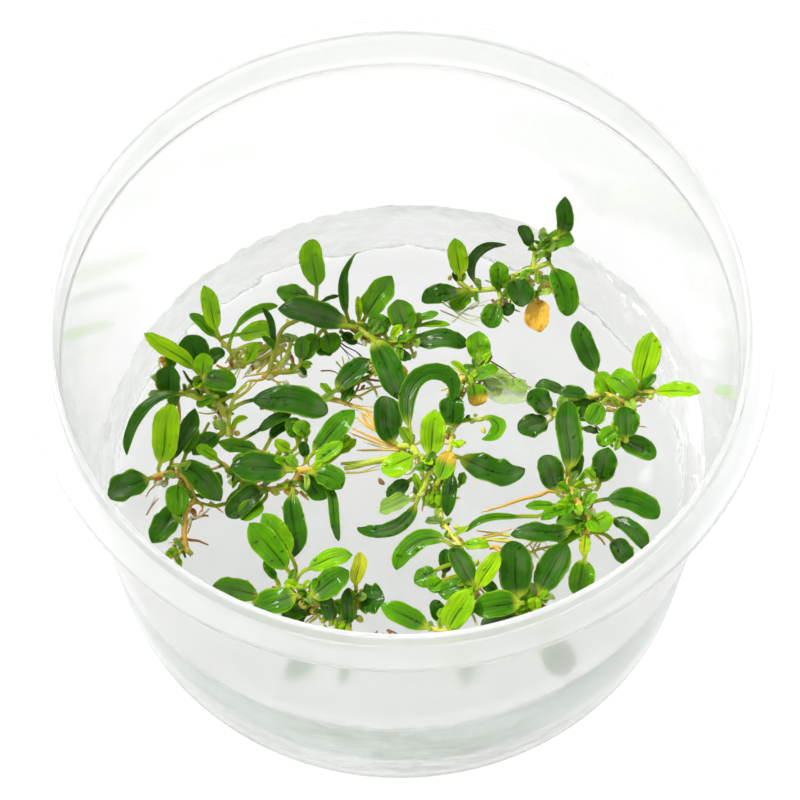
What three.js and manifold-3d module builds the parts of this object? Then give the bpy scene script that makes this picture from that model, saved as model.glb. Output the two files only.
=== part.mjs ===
// A clear plastic cup of water plants as they are sold from tissue culture: a round cup with a wide rim,
// a slab of clear gel that stands on its floor, and a dozen small plantlets that grow on the gel.
// Millimetres, +Z up, the origin in the middle of the cup's underside. The cup's front is at -Y.
// Each plantlet is a creeping stem with its roots and smallest leaves, grown as one piece, and each of its
// larger leaves is a piece of its own, a small gap away from the stem that it grows on.

import * as THREE from 'three';
import { mergeVertices } from 'three/addons/utils/BufferGeometryUtils.js';
import Module from 'manifold-3d';

const wasm = await Module();
wasm.setup();

// The cup: outside radii and heights of its wall, its foot and its rim.
const BASE_RADIUS = 42.8;
const WALL = 0.6;
const STEP_HEIGHT = 50.75;
const STEP_RADIUS = 46.25;
const FOOT_WIDTH = 4.5;
const FOOT_RISE = 0.6;
const FOOT_ROUND = 0.7;
const FLOOR_TOP = 1.4;
const FLOOR_ROUND = 1.5;
const COLLAR_INSIDE = 45.9;
const COLLAR_OUTSIDE = 46.7;
const FLANGE_RADIUS = 50;
const FLANGE_BOTTOM = 54.8;
const FLANGE_TOP = 55.7;
const CUP_HEIGHT = 58;
const STEP_RISE = 0.8;
const LIP_ROUND = 0.3;
const CUP_SIDES = 48;

// The gel: where its top lies in the middle of the cup, and how that top slopes with X and Y.
const GAP = 0.3;
const GEL_TOP = 18.95;
const GEL_SLOPE_X = 0.0627;
const GEL_SLOPE_Y = -0.0554;
const GEL_CHAMFER = 1.7;

// The plants: how thick a leaf is at its midrib, and from which size a leaf is a piece of its own.
const LEAF_THICK = 0.44;
const STALK_SHARE = 0.14;
const STALK_LEAST = 0.5;
const SEPARATE_AREA = 19.2;
const ROOT_REACH = 0.2;

// How finely a leaf is cut into rings: a straight leaf's count, and one more for so many degrees of turning.
const LARGE_LEAF_RINGS = 5;
const SMALL_LEAF_RINGS = 2.6;
const DEGREES_A_RING = 36;
const MOST_RINGS = 16;

const outerRadius = (z) => BASE_RADIUS + ((STEP_RADIUS - BASE_RADIUS) * z) / STEP_HEIGHT;
const gelTop = (x, y) => GEL_TOP + GEL_SLOPE_X * x + GEL_SLOPE_Y * y;
const onGel = ([x, y, above]) => new THREE.Vector3(x, y, gelTop(x, y) + above);

// The cup's wall and rim, one closed outline turned about the axis.
function cupGeometry() {
  const inner = (z) => outerRadius(z) - WALL;
  const footInside = BASE_RADIUS - FOOT_WIDTH;
  const outline = [
    [0, FOOT_RISE],
    [footInside - FOOT_RISE, FOOT_RISE],
    [footInside, 0],
    [BASE_RADIUS - FOOT_ROUND, 0],
    [outerRadius(FOOT_ROUND), FOOT_ROUND],
    [STEP_RADIUS, STEP_HEIGHT],
    [COLLAR_OUTSIDE, STEP_HEIGHT + STEP_RISE],
    [COLLAR_OUTSIDE, FLANGE_BOTTOM],
    [FLANGE_RADIUS, FLANGE_BOTTOM],
    [FLANGE_RADIUS, FLANGE_TOP],
    [COLLAR_OUTSIDE, FLANGE_TOP],
    [COLLAR_OUTSIDE, CUP_HEIGHT - LIP_ROUND],
    [(COLLAR_OUTSIDE + COLLAR_INSIDE) / 2, CUP_HEIGHT],
    [COLLAR_INSIDE, CUP_HEIGHT - LIP_ROUND],
    [COLLAR_INSIDE, STEP_HEIGHT + STEP_RISE / 2],
    [inner(STEP_HEIGHT), STEP_HEIGHT],
    [inner(FLOOR_TOP + FLOOR_ROUND), FLOOR_TOP + FLOOR_ROUND],
    [inner(FLOOR_TOP) - FLOOR_ROUND, FLOOR_TOP],
    [0, FLOOR_TOP],
  ];
  const profile = outline.map(([r, z]) => new THREE.Vector2(r, z));
  const geometry = new THREE.LatheGeometry(profile, CUP_SIDES);
  geometry.rotateX(Math.PI / 2);
  return geometry;
}

// The gel, a slab of the cup's inside with a top that lies a little askew.
function gelGeometry() {
  const bottom = FLOOR_TOP + GAP;
  const edge = (z) => outerRadius(z) - WALL - GAP;
  const outline = [
    [0, bottom],
    [edge(bottom) - GEL_CHAMFER, bottom],
    [edge(bottom + GEL_CHAMFER), bottom + GEL_CHAMFER],
    [edge(GEL_TOP), GEL_TOP],
    [0, GEL_TOP],
  ];
  const profile = outline.map(([r, z]) => new THREE.Vector2(r, z));
  const geometry = new THREE.LatheGeometry(profile, CUP_SIDES);
  geometry.rotateX(Math.PI / 2);
  const place = geometry.getAttribute('position');
  for (let i = 0; i < place.count; i += 1) {
    if (place.getZ(i) > GEL_TOP - 0.001) {
      const z = gelTop(place.getX(i), place.getY(i));
      const shrink = edge(z) / edge(GEL_TOP);
      place.setXYZ(i, place.getX(i) * shrink, place.getY(i) * shrink, z);
    }
  }
  return geometry;
}

// One leaf: from its foot on the stem to its tip, each point given by X, Y and its height above the gel,
// and how wide it is. It droops and sweeps sideways by so many degrees on its way, the turn growing with
// the power `ease`. It is rolled and twisted about its midrib, its edges stand up by the share `cup` of
// half its width, and the first `stalk` of its length is bare stalk.
function leaf(name, from, to, wide, bend = {}) {
  const plain = { droop: 20, sweep: 0, ease: 1, roll: 0, twist: 0, cup: 0.2, stalk: 0.12, tone: 0.4 };
  return { name, from, to, wide, ...plain, ...bend };
}

const DEGREE = Math.PI / 180;
const FINE_STEPS = 24;

// The midrib as points and frames at even steps, turned and scaled to run from foot to tip.
function midrib(item) {
  const foot = onGel(item.from);
  const chord = onGel(item.to).sub(foot);
  const turned = (t) => {
    const side = item.sweep * DEGREE * t ** item.ease;
    const rise = -item.droop * DEGREE * t ** item.ease;
    const along = new THREE.Vector3(
      Math.cos(rise) * Math.cos(side),
      Math.cos(rise) * Math.sin(side),
      Math.sin(rise),
    );
    return { along, across: new THREE.Vector3(-Math.sin(side), Math.cos(side), 0) };
  };
  const local = [new THREE.Vector3()];
  for (let i = 0; i < FINE_STEPS; i += 1) {
    const step = turned((i + 0.5) / FINE_STEPS).along.divideScalar(FINE_STEPS);
    local.push(local[i].clone().add(step));
  }
  const end = local[FINE_STEPS];
  const yaw = (v) => Math.atan2(v.y, v.x);
  const pitch = (v) => Math.atan2(v.z, Math.hypot(v.x, v.y));
  const turn = new THREE.Matrix4().makeRotationZ(yaw(chord));
  turn.multiply(new THREE.Matrix4().makeRotationY(pitch(end) - pitch(chord)));
  turn.multiply(new THREE.Matrix4().makeRotationZ(-yaw(end)));
  const long = chord.length() / end.length();
  const stations = local.map((point, i) => {
    const t = i / FINE_STEPS;
    const { along, across } = turned(t);
    along.applyMatrix4(turn);
    across.applyMatrix4(turn);
    across.applyAxisAngle(along, (item.roll + item.twist * t) * DEGREE);
    const place = point.clone().applyMatrix4(turn).multiplyScalar(long).add(foot);
    return { t, place, across, up: along.cross(across) };
  });
  return { long, stations };
}

// Half the leaf's width at the share t of its length: a stalk, then a blunt oval blade.
function halfWidth(item, t) {
  const half = item.wide / 2;
  const stalk = Math.max(STALK_LEAST / 2, half * STALK_SHARE);
  if (t <= item.stalk) {
    return stalk;
  }
  const u = (t - item.stalk) / (1 - item.stalk);
  const blade = (1 - Math.abs(2 * u ** 0.9 - 1) ** 2.3) ** 0.62;
  return Math.max(stalk * (1 - u), half * blade);
}

// The middle line of a stem or root, and into how many straight pieces its bar is cut.
const stemLine = ({ along }) => new THREE.CatmullRomCurve3(along.map(onGel), false, 'centripetal');
const stemSteps = ({ along }) => Math.max(2, along.length - 1);

// The point of a plantlet's stems that is nearest to a point, and how thick the stem is there.
function nearestStem(stems, point) {
  let best = { gap: Infinity };
  for (const stem of stems) {
    const points = stemLine(stem).getSpacedPoints(stemSteps(stem));
    for (let i = 1; i < points.length; i += 1) {
      const piece = new THREE.Line3(points[i - 1], points[i]);
      const place = piece.closestPointToPoint(point, true, new THREE.Vector3());
      const gap = place.distanceTo(point);
      if (gap < best.gap) {
        best = { gap, place, thick: stem.thick };
      }
    }
  }
  return best;
}

// A leaf's closed solid: rings of four points, edge, top, edge and underside, and a last point at the tip.
function leafGeometry(item, stems, separate) {
  const { stations } = midrib(item);
  const root = nearestStem(stems, stations[0].place);
  let kept = stations;
  if (separate) {
    const clear = root.thick / 2 + LEAF_THICK / 2 + GAP;
    const off = ({ place }) => nearestStem(stems, place).gap > clear;
    const first = stations.findIndex(off);
    kept = stations.slice(Math.max(first, 0));
  } else if (root.gap > ROOT_REACH) {
    const way = stations[0].place.clone().sub(root.place).normalize();
    const across = stations[0].across.clone().addScaledVector(way, -way.dot(stations[0].across));
    if (across.length() < 0.3) {
      across.copy(stations[0].up).addScaledVector(way, -way.dot(stations[0].up));
    }
    across.normalize();
    kept = [{ t: 0, place: root.place, across, up: way.cross(across) }, ...stations];
  }
  const turning = Math.abs(item.sweep) + Math.abs(item.droop) + Math.abs(item.twist);
  const straight = separate ? LARGE_LEAF_RINGS : SMALL_LEAF_RINGS;
  const rings = Math.min(MOST_RINGS, Math.round(straight + turning / DEGREES_A_RING));
  const picked = [];
  if (kept.length > stations.length) {
    picked.push(kept[0]);
  }
  const body = kept.slice(picked.length);
  for (let i = picked.length; i < rings; i += 1) {
    picked.push(body[Math.round((i * (body.length - 1)) / rings)]);
  }
  const tip = stations[FINE_STEPS];
  const points = [];
  for (const { t, place, across, up } of picked) {
    const half = halfWidth(item, t);
    const thick = (LEAF_THICK / 2) * (1 - 0.4 * t);
    const lift = up.clone().multiplyScalar(item.cup * half);
    points.push(place.clone().addScaledVector(across, half).add(lift));
    points.push(place.clone().addScaledVector(up, thick));
    points.push(place.clone().addScaledVector(across, -half).add(lift));
    points.push(place.clone().addScaledVector(up, -thick));
  }
  points.push(tip.place);
  const faces = [[2, 1, 0], [3, 2, 0]];
  for (let ring = 1; ring < picked.length; ring += 1) {
    for (let k = 0; k < 4; k += 1) {
      const a = ring * 4 - 4 + k;
      const b = ring * 4 - 4 + ((k + 1) % 4);
      faces.push([a, b, a + 4], [b, b + 4, a + 4]);
    }
  }
  const last = picked.length * 4;
  for (let k = 0; k < 4; k += 1) {
    faces.push([last - 4 + k, last - 4 + ((k + 1) % 4), last]);
  }
  const geometry = new THREE.BufferGeometry();
  const numbers = points.flatMap((point) => point.toArray());
  geometry.setAttribute('position', new THREE.Float32BufferAttribute(numbers, 3));
  geometry.setIndex(faces.flat());
  return geometry;
}

// A stem or root: a round bar along its line.
function barGeometry(stem) {
  const { thick } = stem;
  const section = new THREE.Shape();
  const sides = thick > 0.9 ? 6 : 5;
  for (let i = 0; i < sides; i += 1) {
    const angle = (2 * Math.PI * i) / sides;
    const move = i === 0 ? 'moveTo' : 'lineTo';
    section[move]((Math.cos(angle) * thick) / 2, (Math.sin(angle) * thick) / 2);
  }
  const settings = { steps: stemSteps(stem), bevelEnabled: false, extrudePath: stemLine(stem) };
  return new THREE.ExtrudeGeometry(section, settings);
}

function toSolid(geometry) {
  const bare = geometry.clone();
  bare.deleteAttribute('normal');
  bare.deleteAttribute('uv');
  const merged = mergeVertices(bare, 1e-4);
  const vertProperties = new Float32Array(merged.getAttribute('position').array);
  const triVerts = new Uint32Array(merged.getIndex().array);
  return new wasm.Manifold(new wasm.Mesh({ numProp: 3, vertProperties, triVerts }));
}

// A union's triangles are listed from the largest to the smallest.
function toGeometry(solid) {
  const { vertProperties, triVerts } = solid.getMesh();
  const place = new THREE.BufferAttribute(vertProperties, 3);
  const corner = (i) => new THREE.Vector3().fromBufferAttribute(place, i);
  const triangles = [];
  for (let i = 0; i < triVerts.length; i += 3) {
    const [a, b, c] = triVerts.subarray(i, i + 3);
    const size = new THREE.Triangle(corner(a), corner(b), corner(c)).getArea();
    triangles.push({ size, corners: [a, b, c] });
  }
  triangles.sort((one, other) => other.size - one.size);
  const geometry = new THREE.BufferGeometry();
  geometry.setAttribute('position', place);
  geometry.setIndex(triangles.flatMap(({ corners }) => corners));
  return geometry;
}

const area = (item) => midrib(item).long * item.wide * (1 - item.cup / 2);

// Each plantlet with its stems, thickest first, and its leaves. Tone 0 is the darkest green and 1 the
// brightest yellow green; the few dying leaves have a tone of 2.
const PLANTS = {
  back_left: {
    stems: [
      {
        thick: 0.9,
        along: [
          [-19.3, 13.9, 0.8], [-18.6, 16.8, 2], [-17.2, 20.4, 3], [-14.7, 21.8, 3.4],
          [-12.5, 24.6, 3.6],
        ],
      },
      { thick: 0.7, along: [[-19.3, 13.9, 0.8], [-16, 14, 0.9], [-14.5, 15.1, 1.4]] },
      { thick: 0.8, along: [[-24.1, 15.9, 1], [-25.2, 17.4, 2], [-26.7, 19.4, 2]] },
      { thick: 0.8, along: [[-18.6, 16.8, 2], [-20.9, 16.1, 0.9], [-24.1, 15.9, 1]] },
    ],
    leaves: [
      leaf('spoon', [-12.5, 24.9, 3.5], [-13, 32.7, 8.5], 3.4, {
        droop: 15, cup: 0.1, tone: 0.75, stalk: 0.22,
      }),
      leaf('side', [-13, 25.4, 3.2], [-18.3, 25.8, 5], 3.4, { roll: 10, cup: 0.1, tone: 0.5 }),
      leaf('low', [-14.6, 15.2, 1.5], [-14.3, 18.3, 4], 2.1, { droop: 10, cup: 0.3, tone: 0.5 }),
      leaf('low_right', [-14.1, 17.6, 2.5], [-9.7, 17.5, 0.7], 2.7, { tone: 0.45 }),
      leaf('needle', [-11.8, 24.4, 3], [-9, 25.8, 3], 0.7, {
        droop: 70, sweep: -20, cup: 0.1, tone: 0.3,
      }),
      leaf('dark', [-18.5, 17.2, 2], [-20.2, 21.8, 6.7], 1, {
        droop: 40, sweep: 35, cup: 0.3, tone: 0.2,
      }),
      leaf('hook', [-14.8, 14.5, 1.5], [-13.9, 13.2, 0.9], 0.7, {
        droop: 40, sweep: -40, cup: 0.1, tone: 0.3,
      }),
      leaf('arch', [-25.2, 17.4, 2], [-18, 22.8, 5.5], 1.3, {
        droop: 60, sweep: -80, cup: 0.3, tone: 0.65, stalk: 0.35,
      }),
      leaf('light', [-26.7, 19.2, 2.7], [-29, 26, 7], 2.5, {
        droop: 15, cup: 0.15, tone: 0.85, stalk: 0.15,
      }),
      leaf('small', [-26.7, 19.4, 2], [-31.2, 23.1, 3.5], 1.7, { droop: 10, cup: 0.3, tone: 0.6 }),
      leaf('fold', [-25, 20.6, 1], [-18.4, 19.9, 3], 3.1, {
        droop: 15, cup: 0.35, tone: 0.8, stalk: 0.2,
      }),
    ],
  },
  left: {
    stems: [
      {
        thick: 1.2,
        along: [
          [-24.6, 3.2, 0.8], [-25.1, 5, 1.6], [-25.8, 6.7, 2.6], [-27.6, 9, 3.2],
          [-29, 11.9, 3.4], [-29.5, 14.1, 2],
        ],
      },
      {
        thick: 0.7,
        along: [[-28.1, 10.1, 2.8], [-31.3, 10.5, 1.6], [-34, 9.8, 1.8], [-33.8, 14.3, 1]],
      },
    ],
    leaves: [
      leaf('bright', [-29.5, 12.9, 2.8], [-37.5, 17.9, 7], 2.5, {
        droop: 25, cup: 0.15, tone: 0.9, stalk: 0.1,
      }),
      leaf('dark', [-29.4, 14.6, 1.3], [-31.3, 18.9, 4.3], 4.5, {
        droop: 25, cup: 0.1, tone: 0.25, stalk: 0.05,
      }),
      leaf('shade', [-28.9, 14.8, 2.5], [-25.8, 16.4, 3.5], 2.2, { droop: 30, tone: 0.3 }),
      leaf('round', [-28.9, 11.9, 3.6], [-28.6, 15.1, 5.3], 2.7, {
        droop: 10, cup: 0.1, tone: 0.8, stalk: 0.1,
      }),
      leaf('disc', [-28.9, 11.2, 4.5], [-23.9, 9.4, 5], 3.5, {
        droop: 50, sweep: -20, cup: 0.1, tone: 0.45, stalk: 0.05,
      }),
      leaf('cupped', [-34.1, 9.6, 2.3], [-33.3, 12.9, 5.7], 3.6, {
        droop: 30, cup: 0.6, tone: 0.3, stalk: 0.05,
      }),
      leaf('amber', [-33.9, 14.5, 1], [-35.4, 16.6, 2], 1.1, { droop: 10, tone: 2 }),
      leaf('edge', [-29, 9, 2], [-31.7, 12.4, 5], 1.1, { droop: 10, roll: 60, tone: 0.15 }),
      leaf('bud', [-33.6, 9.8, 1.5], [-32.7, 10.3, 2.5], 1.1, { droop: 10, tone: 0.9 }),
      leaf('long', [-29.2, 8, 3.5], [-39.7, -0.4, 1.5], 1.8, {
        droop: 70, sweep: 100, cup: 0.3, tone: 0.35, stalk: 0.5,
      }),
      leaf('small', [-26.5, 8, 4.5], [-29.6, 7.2, 3.5], 1.7, { tone: 0.6 }),
      leaf('big', [-24.6, 6.4, 3], [-10.4, 4.6, 4.5], 4.2, {
        droop: 50, sweep: -85, ease: 0.45, cup: 0.15, tone: 0.25, stalk: 0.25,
      }),
      leaf('thin', [-22.7, 2.5, 1], [-15.7, 4.9, 4], 1.8, {
        droop: 30, cup: 0.4, tone: 0.3, stalk: 0.35,
      }),
    ],
  },
  left_front: {
    stems: [
      {
        thick: 1,
        along: [
          [-35.7, -4, 1.8], [-33.7, -3.4, 1.9], [-31.4, -3.7, 2.2], [-30.1, -5.7, 1.5],
          [-29.5, -7.4, 1],
        ],
      },
      {
        thick: 0.8,
        along: [
          [-29.5, -7.4, 1], [-30.4, -8.4, 0.8], [-30.7, -12.2, 0.8], [-30.7, -15.2, 0.7],
          [-33.5, -16.9, 0.6],
        ],
      },
    ],
    leaves: [
      leaf('bright', [-34.8, -2.5, 2], [-32.8, 5.8, 6.5], 3.8, { cup: 0.2, tone: 0.85, stalk: 0.08 }),
      leaf('dark', [-33, -1.8, 1.6], [-29.6, 5.7, 5.2], 2.7, {
        droop: 15, cup: 0.35, tone: 0.2, stalk: 0.1,
      }),
      leaf('small', [-31.2, -0.4, 1], [-29.3, 3.7, 3], 1.7, { droop: 10, tone: 0.6 }),
      leaf('far', [-35.7, -4.1, 2], [-41.9, -7.2, 2], 4.1, {
        droop: 45, cup: 0.15, tone: 0.3, stalk: 0.08,
      }),
      leaf('right', [-32.5, -2.6, 3], [-25.6, -8.4, 2.2], 3.6, {
        droop: 35, sweep: -45, cup: 0.15, tone: 0.35, stalk: 0.1,
      }),
      leaf('low', [-31.6, -4.9, 2], [-31.8, -10.6, 2], 3.2, {
        droop: 35, cup: 0.15, tone: 0.6, stalk: 0.1,
      }),
      leaf('under', [-31.5, -8, 0.8], [-35.3, -14.3, 0.9], 3.5, {
        droop: 12, cup: 0.15, tone: 0.4, stalk: 0.05,
      }),
      leaf('wet', [-25.4, -8.2, 0.8], [-21.5, -6.4, 0.9], 2, { droop: 10, tone: 0.45 }),
    ],
  },
  centre_left: {
    stems: [
      { thick: 1.1, along: [[-19.8, -0.5, 2], [-17.3, -2.6, 3], [-14.3, -4.5, 4], [-12.5, -4.4, 3.6]] },
      {
        thick: 1,
        along: [
          [-14.3, -4.5, 4], [-15.6, -6.1, 2.6], [-18.8, -6.3, 1.6], [-22.2, -4.9, 1],
          [-25.5, -2.1, 2],
        ],
      },
    ],
    leaves: [
      leaf('lime', [-26, -2, 2.5], [-29.3, 0.2, 3.5], 1.7, { tone: 0.78 }),
      leaf('back', [-19.8, -0.7, 2.5], [-26.2, 0.5, 4], 2.2, { cup: 0.15, tone: 0.5 }),
      leaf('broad', [-15.2, -4.8, 4.5], [-24.2, -4.8, 6], 4.6, { cup: 0.1, tone: 0.3, stalk: 0.08 }),
      leaf('olive', [-19, 1.5, 1.5], [-15.1, 4.7, 2.4], 1.7, { sweep: -40, cup: 0.3, tone: 0.3 }),
      leaf('curl', [-13.6, 1.5, 2], [-15.3, 3.2, 4], 2.1, {
        droop: 60, sweep: 40, cup: 0.3, tone: 0.7,
      }),
      leaf('bud', [-15.7, -1, 3], [-17.7, 0, 4.5], 1.7, { droop: 10, cup: 0.3, tone: 0.88 }),
      leaf('tiny', [-13.6, -1.4, 1.4], [-14, 0.8, 3], 1.5, { droop: 10, tone: 0.2 }),
      leaf('right', [-13, -1.9, 3], [-6.5, 4.1, 6], 3.4, { cup: 0.15, tone: 0.45, stalk: 0.08 }),
      leaf('light', [-12.5, -4.1, 4], [-8.1, -0.9, 5.5], 2.1, { droop: 15, cup: 0.3, tone: 0.75 }),
      leaf('yellow', [-9, -0.9, 1.5], [-6.3, 1.2, 2.5], 1.5, { droop: 10, cup: 0.3, tone: 0.88 }),
      leaf('roll', [-12.6, -5.5, 4.8], [-8.3, -8.1, 4.4], 3.4, {
        droop: 50, sweep: -60, cup: 0.3, tone: 0.4,
      }),
      leaf('tail', [-11.8, -5.5, 3.5], [-8.7, -14.7, 0.8], 1.4, {
        droop: 60, sweep: -50, ease: 0.7, tone: 0.4, stalk: 0.05,
      }),
      leaf('dark', [-14.8, -5.4, 2.5], [-10.5, -8.1, 1.5], 2.7, {
        droop: 30, sweep: -20, tone: 0.35, stalk: 0.05,
      }),
      leaf('down', [-15.2, -7.1, 3], [-15, -17.1, 0.7], 2.9, {
        droop: 30, cup: 0.35, tone: 0.35, stalk: 0.1,
      }),
      leaf('far', [-18.8, -6.5, 2], [-24.8, -10.2, 1], 3.4, { droop: 25, tone: 0.3, stalk: 0.1 }),
    ],
  },
  front_left: {
    stems: [
      {
        thick: 1.1,
        along: [
          [-19.2, -23.6, 1.4], [-16.7, -23.4, 2.4], [-14.8, -22.8, 3.6], [-13.4, -24, 3.4],
          [-11.1, -25.4, 2],
        ],
      },
      {
        thick: 0.8,
        along: [
          [-11.1, -25.4, 2], [-8.8, -27.4, 1.1], [-7, -27.7, 0.9], [-6.6, -24.9, 1.3],
          [-6.1, -23.2, 2],
        ],
      },
    ],
    leaves: [
      leaf('big', [-15, -21.6, 3.5], [-21.1, -14.5, 7], 3.8, {
        droop: 15, cup: 0.3, tone: 0.55, stalk: 0.15,
      }),
      leaf('back', [-15.1, -17.9, 1.5], [-19.4, -11.7, 4.5], 3.2, { droop: 15, cup: 0.1, tone: 0.7 }),
      leaf('slim', [-17.2, -21.1, 1], [-19.2, -18.7, 3], 1.3, { droop: 10, tone: 0.6 }),
      leaf('left', [-19.2, -23.7, 1.5], [-26.3, -22.2, 2.5], 3.4, { droop: 25, cup: 0.15, tone: 0.5 }),
      leaf('front', [-14.1, -24.9, 4.5], [-20.3, -26.9, 3.5], 3.9, {
        droop: 35, cup: 0.1, tone: 0.45, stalk: 0.05,
      }),
      leaf('under', [-12.9, -25.3, 1.5], [-16.1, -27.7, 0.8], 3.1, { droop: 15, cup: 0.15, tone: 0.2 }),
      leaf('light', [-13.5, -20.7, 3.5], [-6.6, -19.1, 5], 2.8, { sweep: -25, cup: 0.15, tone: 0.75 }),
      leaf('right', [-12.6, -25.2, 4], [-7.1, -21.8, 5.5], 3.8, {
        droop: 25, cup: 0.15, tone: 0.45, stalk: 0.05,
      }),
      leaf('folded', [-6.1, -23.4, 2.7], [-5.5, -19, 5.7], 2, { droop: 10, cup: 0.45, tone: 0.9 }),
      leaf('round', [-6, -24.8, 1.6], [-2.1, -25, 2.6], 4.3, { cup: 0.15, tone: 0.15, stalk: 0.05 }),
      leaf('bow', [-14.1, -24.7, 3.3], [-11.5, -24.5, 2.8], 1, { droop: 80, cup: 0.3, tone: 0.85 }),
      leaf('wet', [-7.3, -29.3, 1.4], [-7.3, -23.8, 4], 1.7, { droop: 10, cup: 0.3, tone: 0.15 }),
      leaf('olive', [-9.7, -28.1, 1], [-10.2, -24.6, 3], 2, { droop: 10, tone: 0.3 }),
      leaf('pale', [-9, -29.3, 0.8], [-6.7, -28.1, 0.8], 1.4, { tone: 0.85 }),
    ],
  },
  back: {
    stems: [
      {
        thick: 1,
        along: [
          [-8.2, 20.7, 2.2], [-6.4, 19.9, 3.4], [-4.5, 17.5, 4.6], [-2.3, 17.5, 3],
          [-0.2, 17.3, 2.4], [1.4, 17, 2.2], [2.2, 20.4, 2],
        ],
      },
      { thick: 0.7, along: [[-2.3, 17.5, 3], [-3.7, 13.5, 1.4], [-6.5, 11.4, 1], [-9.6, 10.2, 1.2]] },
    ],
    leaves: [
      leaf('big', [-6.8, 19.3, 4.5], [-18, 22, 6], 4.1, { droop: 25, tone: 0.22, stalk: 0.08 }),
      leaf('twist', [-7.5, 21.2, 2.5], [-5.8, 29.4, 9], 1.4, {
        droop: 30, sweep: -120, ease: 2.2, roll: 30, twist: 60, cup: 0.3, tone: 0.28,
      }),
      leaf('upright', [-5.5, 21.2, 2.6], [-1.2, 26.9, 6.5], 3.8, { droop: 15, tone: 0.55 }),
      leaf('slim', [-6, 20.8, 3], [-6.2, 23.8, 6], 1, { droop: 10, cup: 0.3, tone: 0.88 }),
      leaf('front', [-4, 16.3, 6], [-0.1, 7.1, 3.3], 3.9, {
        droop: 45, cup: 0.15, tone: 0.3, stalk: 0.05,
      }),
      leaf('wet', [0.8, 17.6, 3], [9.9, 16.7, 2.5], 3.1, {
        sweep: -20, cup: 0.15, tone: 0.2, stalk: 0.08,
      }),
      leaf('low', [-8.8, 20.3, 1.5], [-6.4, 18.4, 1], 1.7, { tone: 0.3 }),
      leaf('soft', [-2, 18.1, 3], [-4.2, 21, 5], 2.8, { cup: 0.15, tone: 0.5 }),
      leaf('wide', [0.7, 18.3, 3.4], [-0.4, 23, 6], 3.8, { cup: 0.1, tone: 0.45, stalk: 0.1 }),
      leaf('small', [2.3, 21, 2.9], [5.7, 21.4, 4.2], 1.3, { tone: 0.6 }),
      leaf('light', [2.6, 20.6, 2], [7.4, 20, 3], 1.1, { droop: 30, tone: 0.75 }),
      leaf('knob', [1.8, 15.2, 2], [-0.5, 14.7, 3], 1.8, { droop: 50, cup: 0.3, tone: 0.1 }),
      leaf('left', [-9.5, 9.7, 2], [-4.4, 13.9, 4], 3.1, { droop: 15, tone: 0.25, stalk: 0.05 }),
      leaf('curl', [-9.6, 10.1, 1], [-11.6, 11.5, 1.5], 1.1, { droop: 30, sweep: -70, tone: 0.8 }),
    ],
  },
  centre: {
    stems: [
      {
        thick: 1.2,
        along: [
          [-0.1, 0.1, 1.9], [1.7, -0.7, 3], [2.9, -3.4, 4.2], [4.3, -4.4, 4.4],
          [3.9, -6.6, 3.6], [2.8, -8.3, 2],
        ],
      },
      {
        thick: 0.8,
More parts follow.
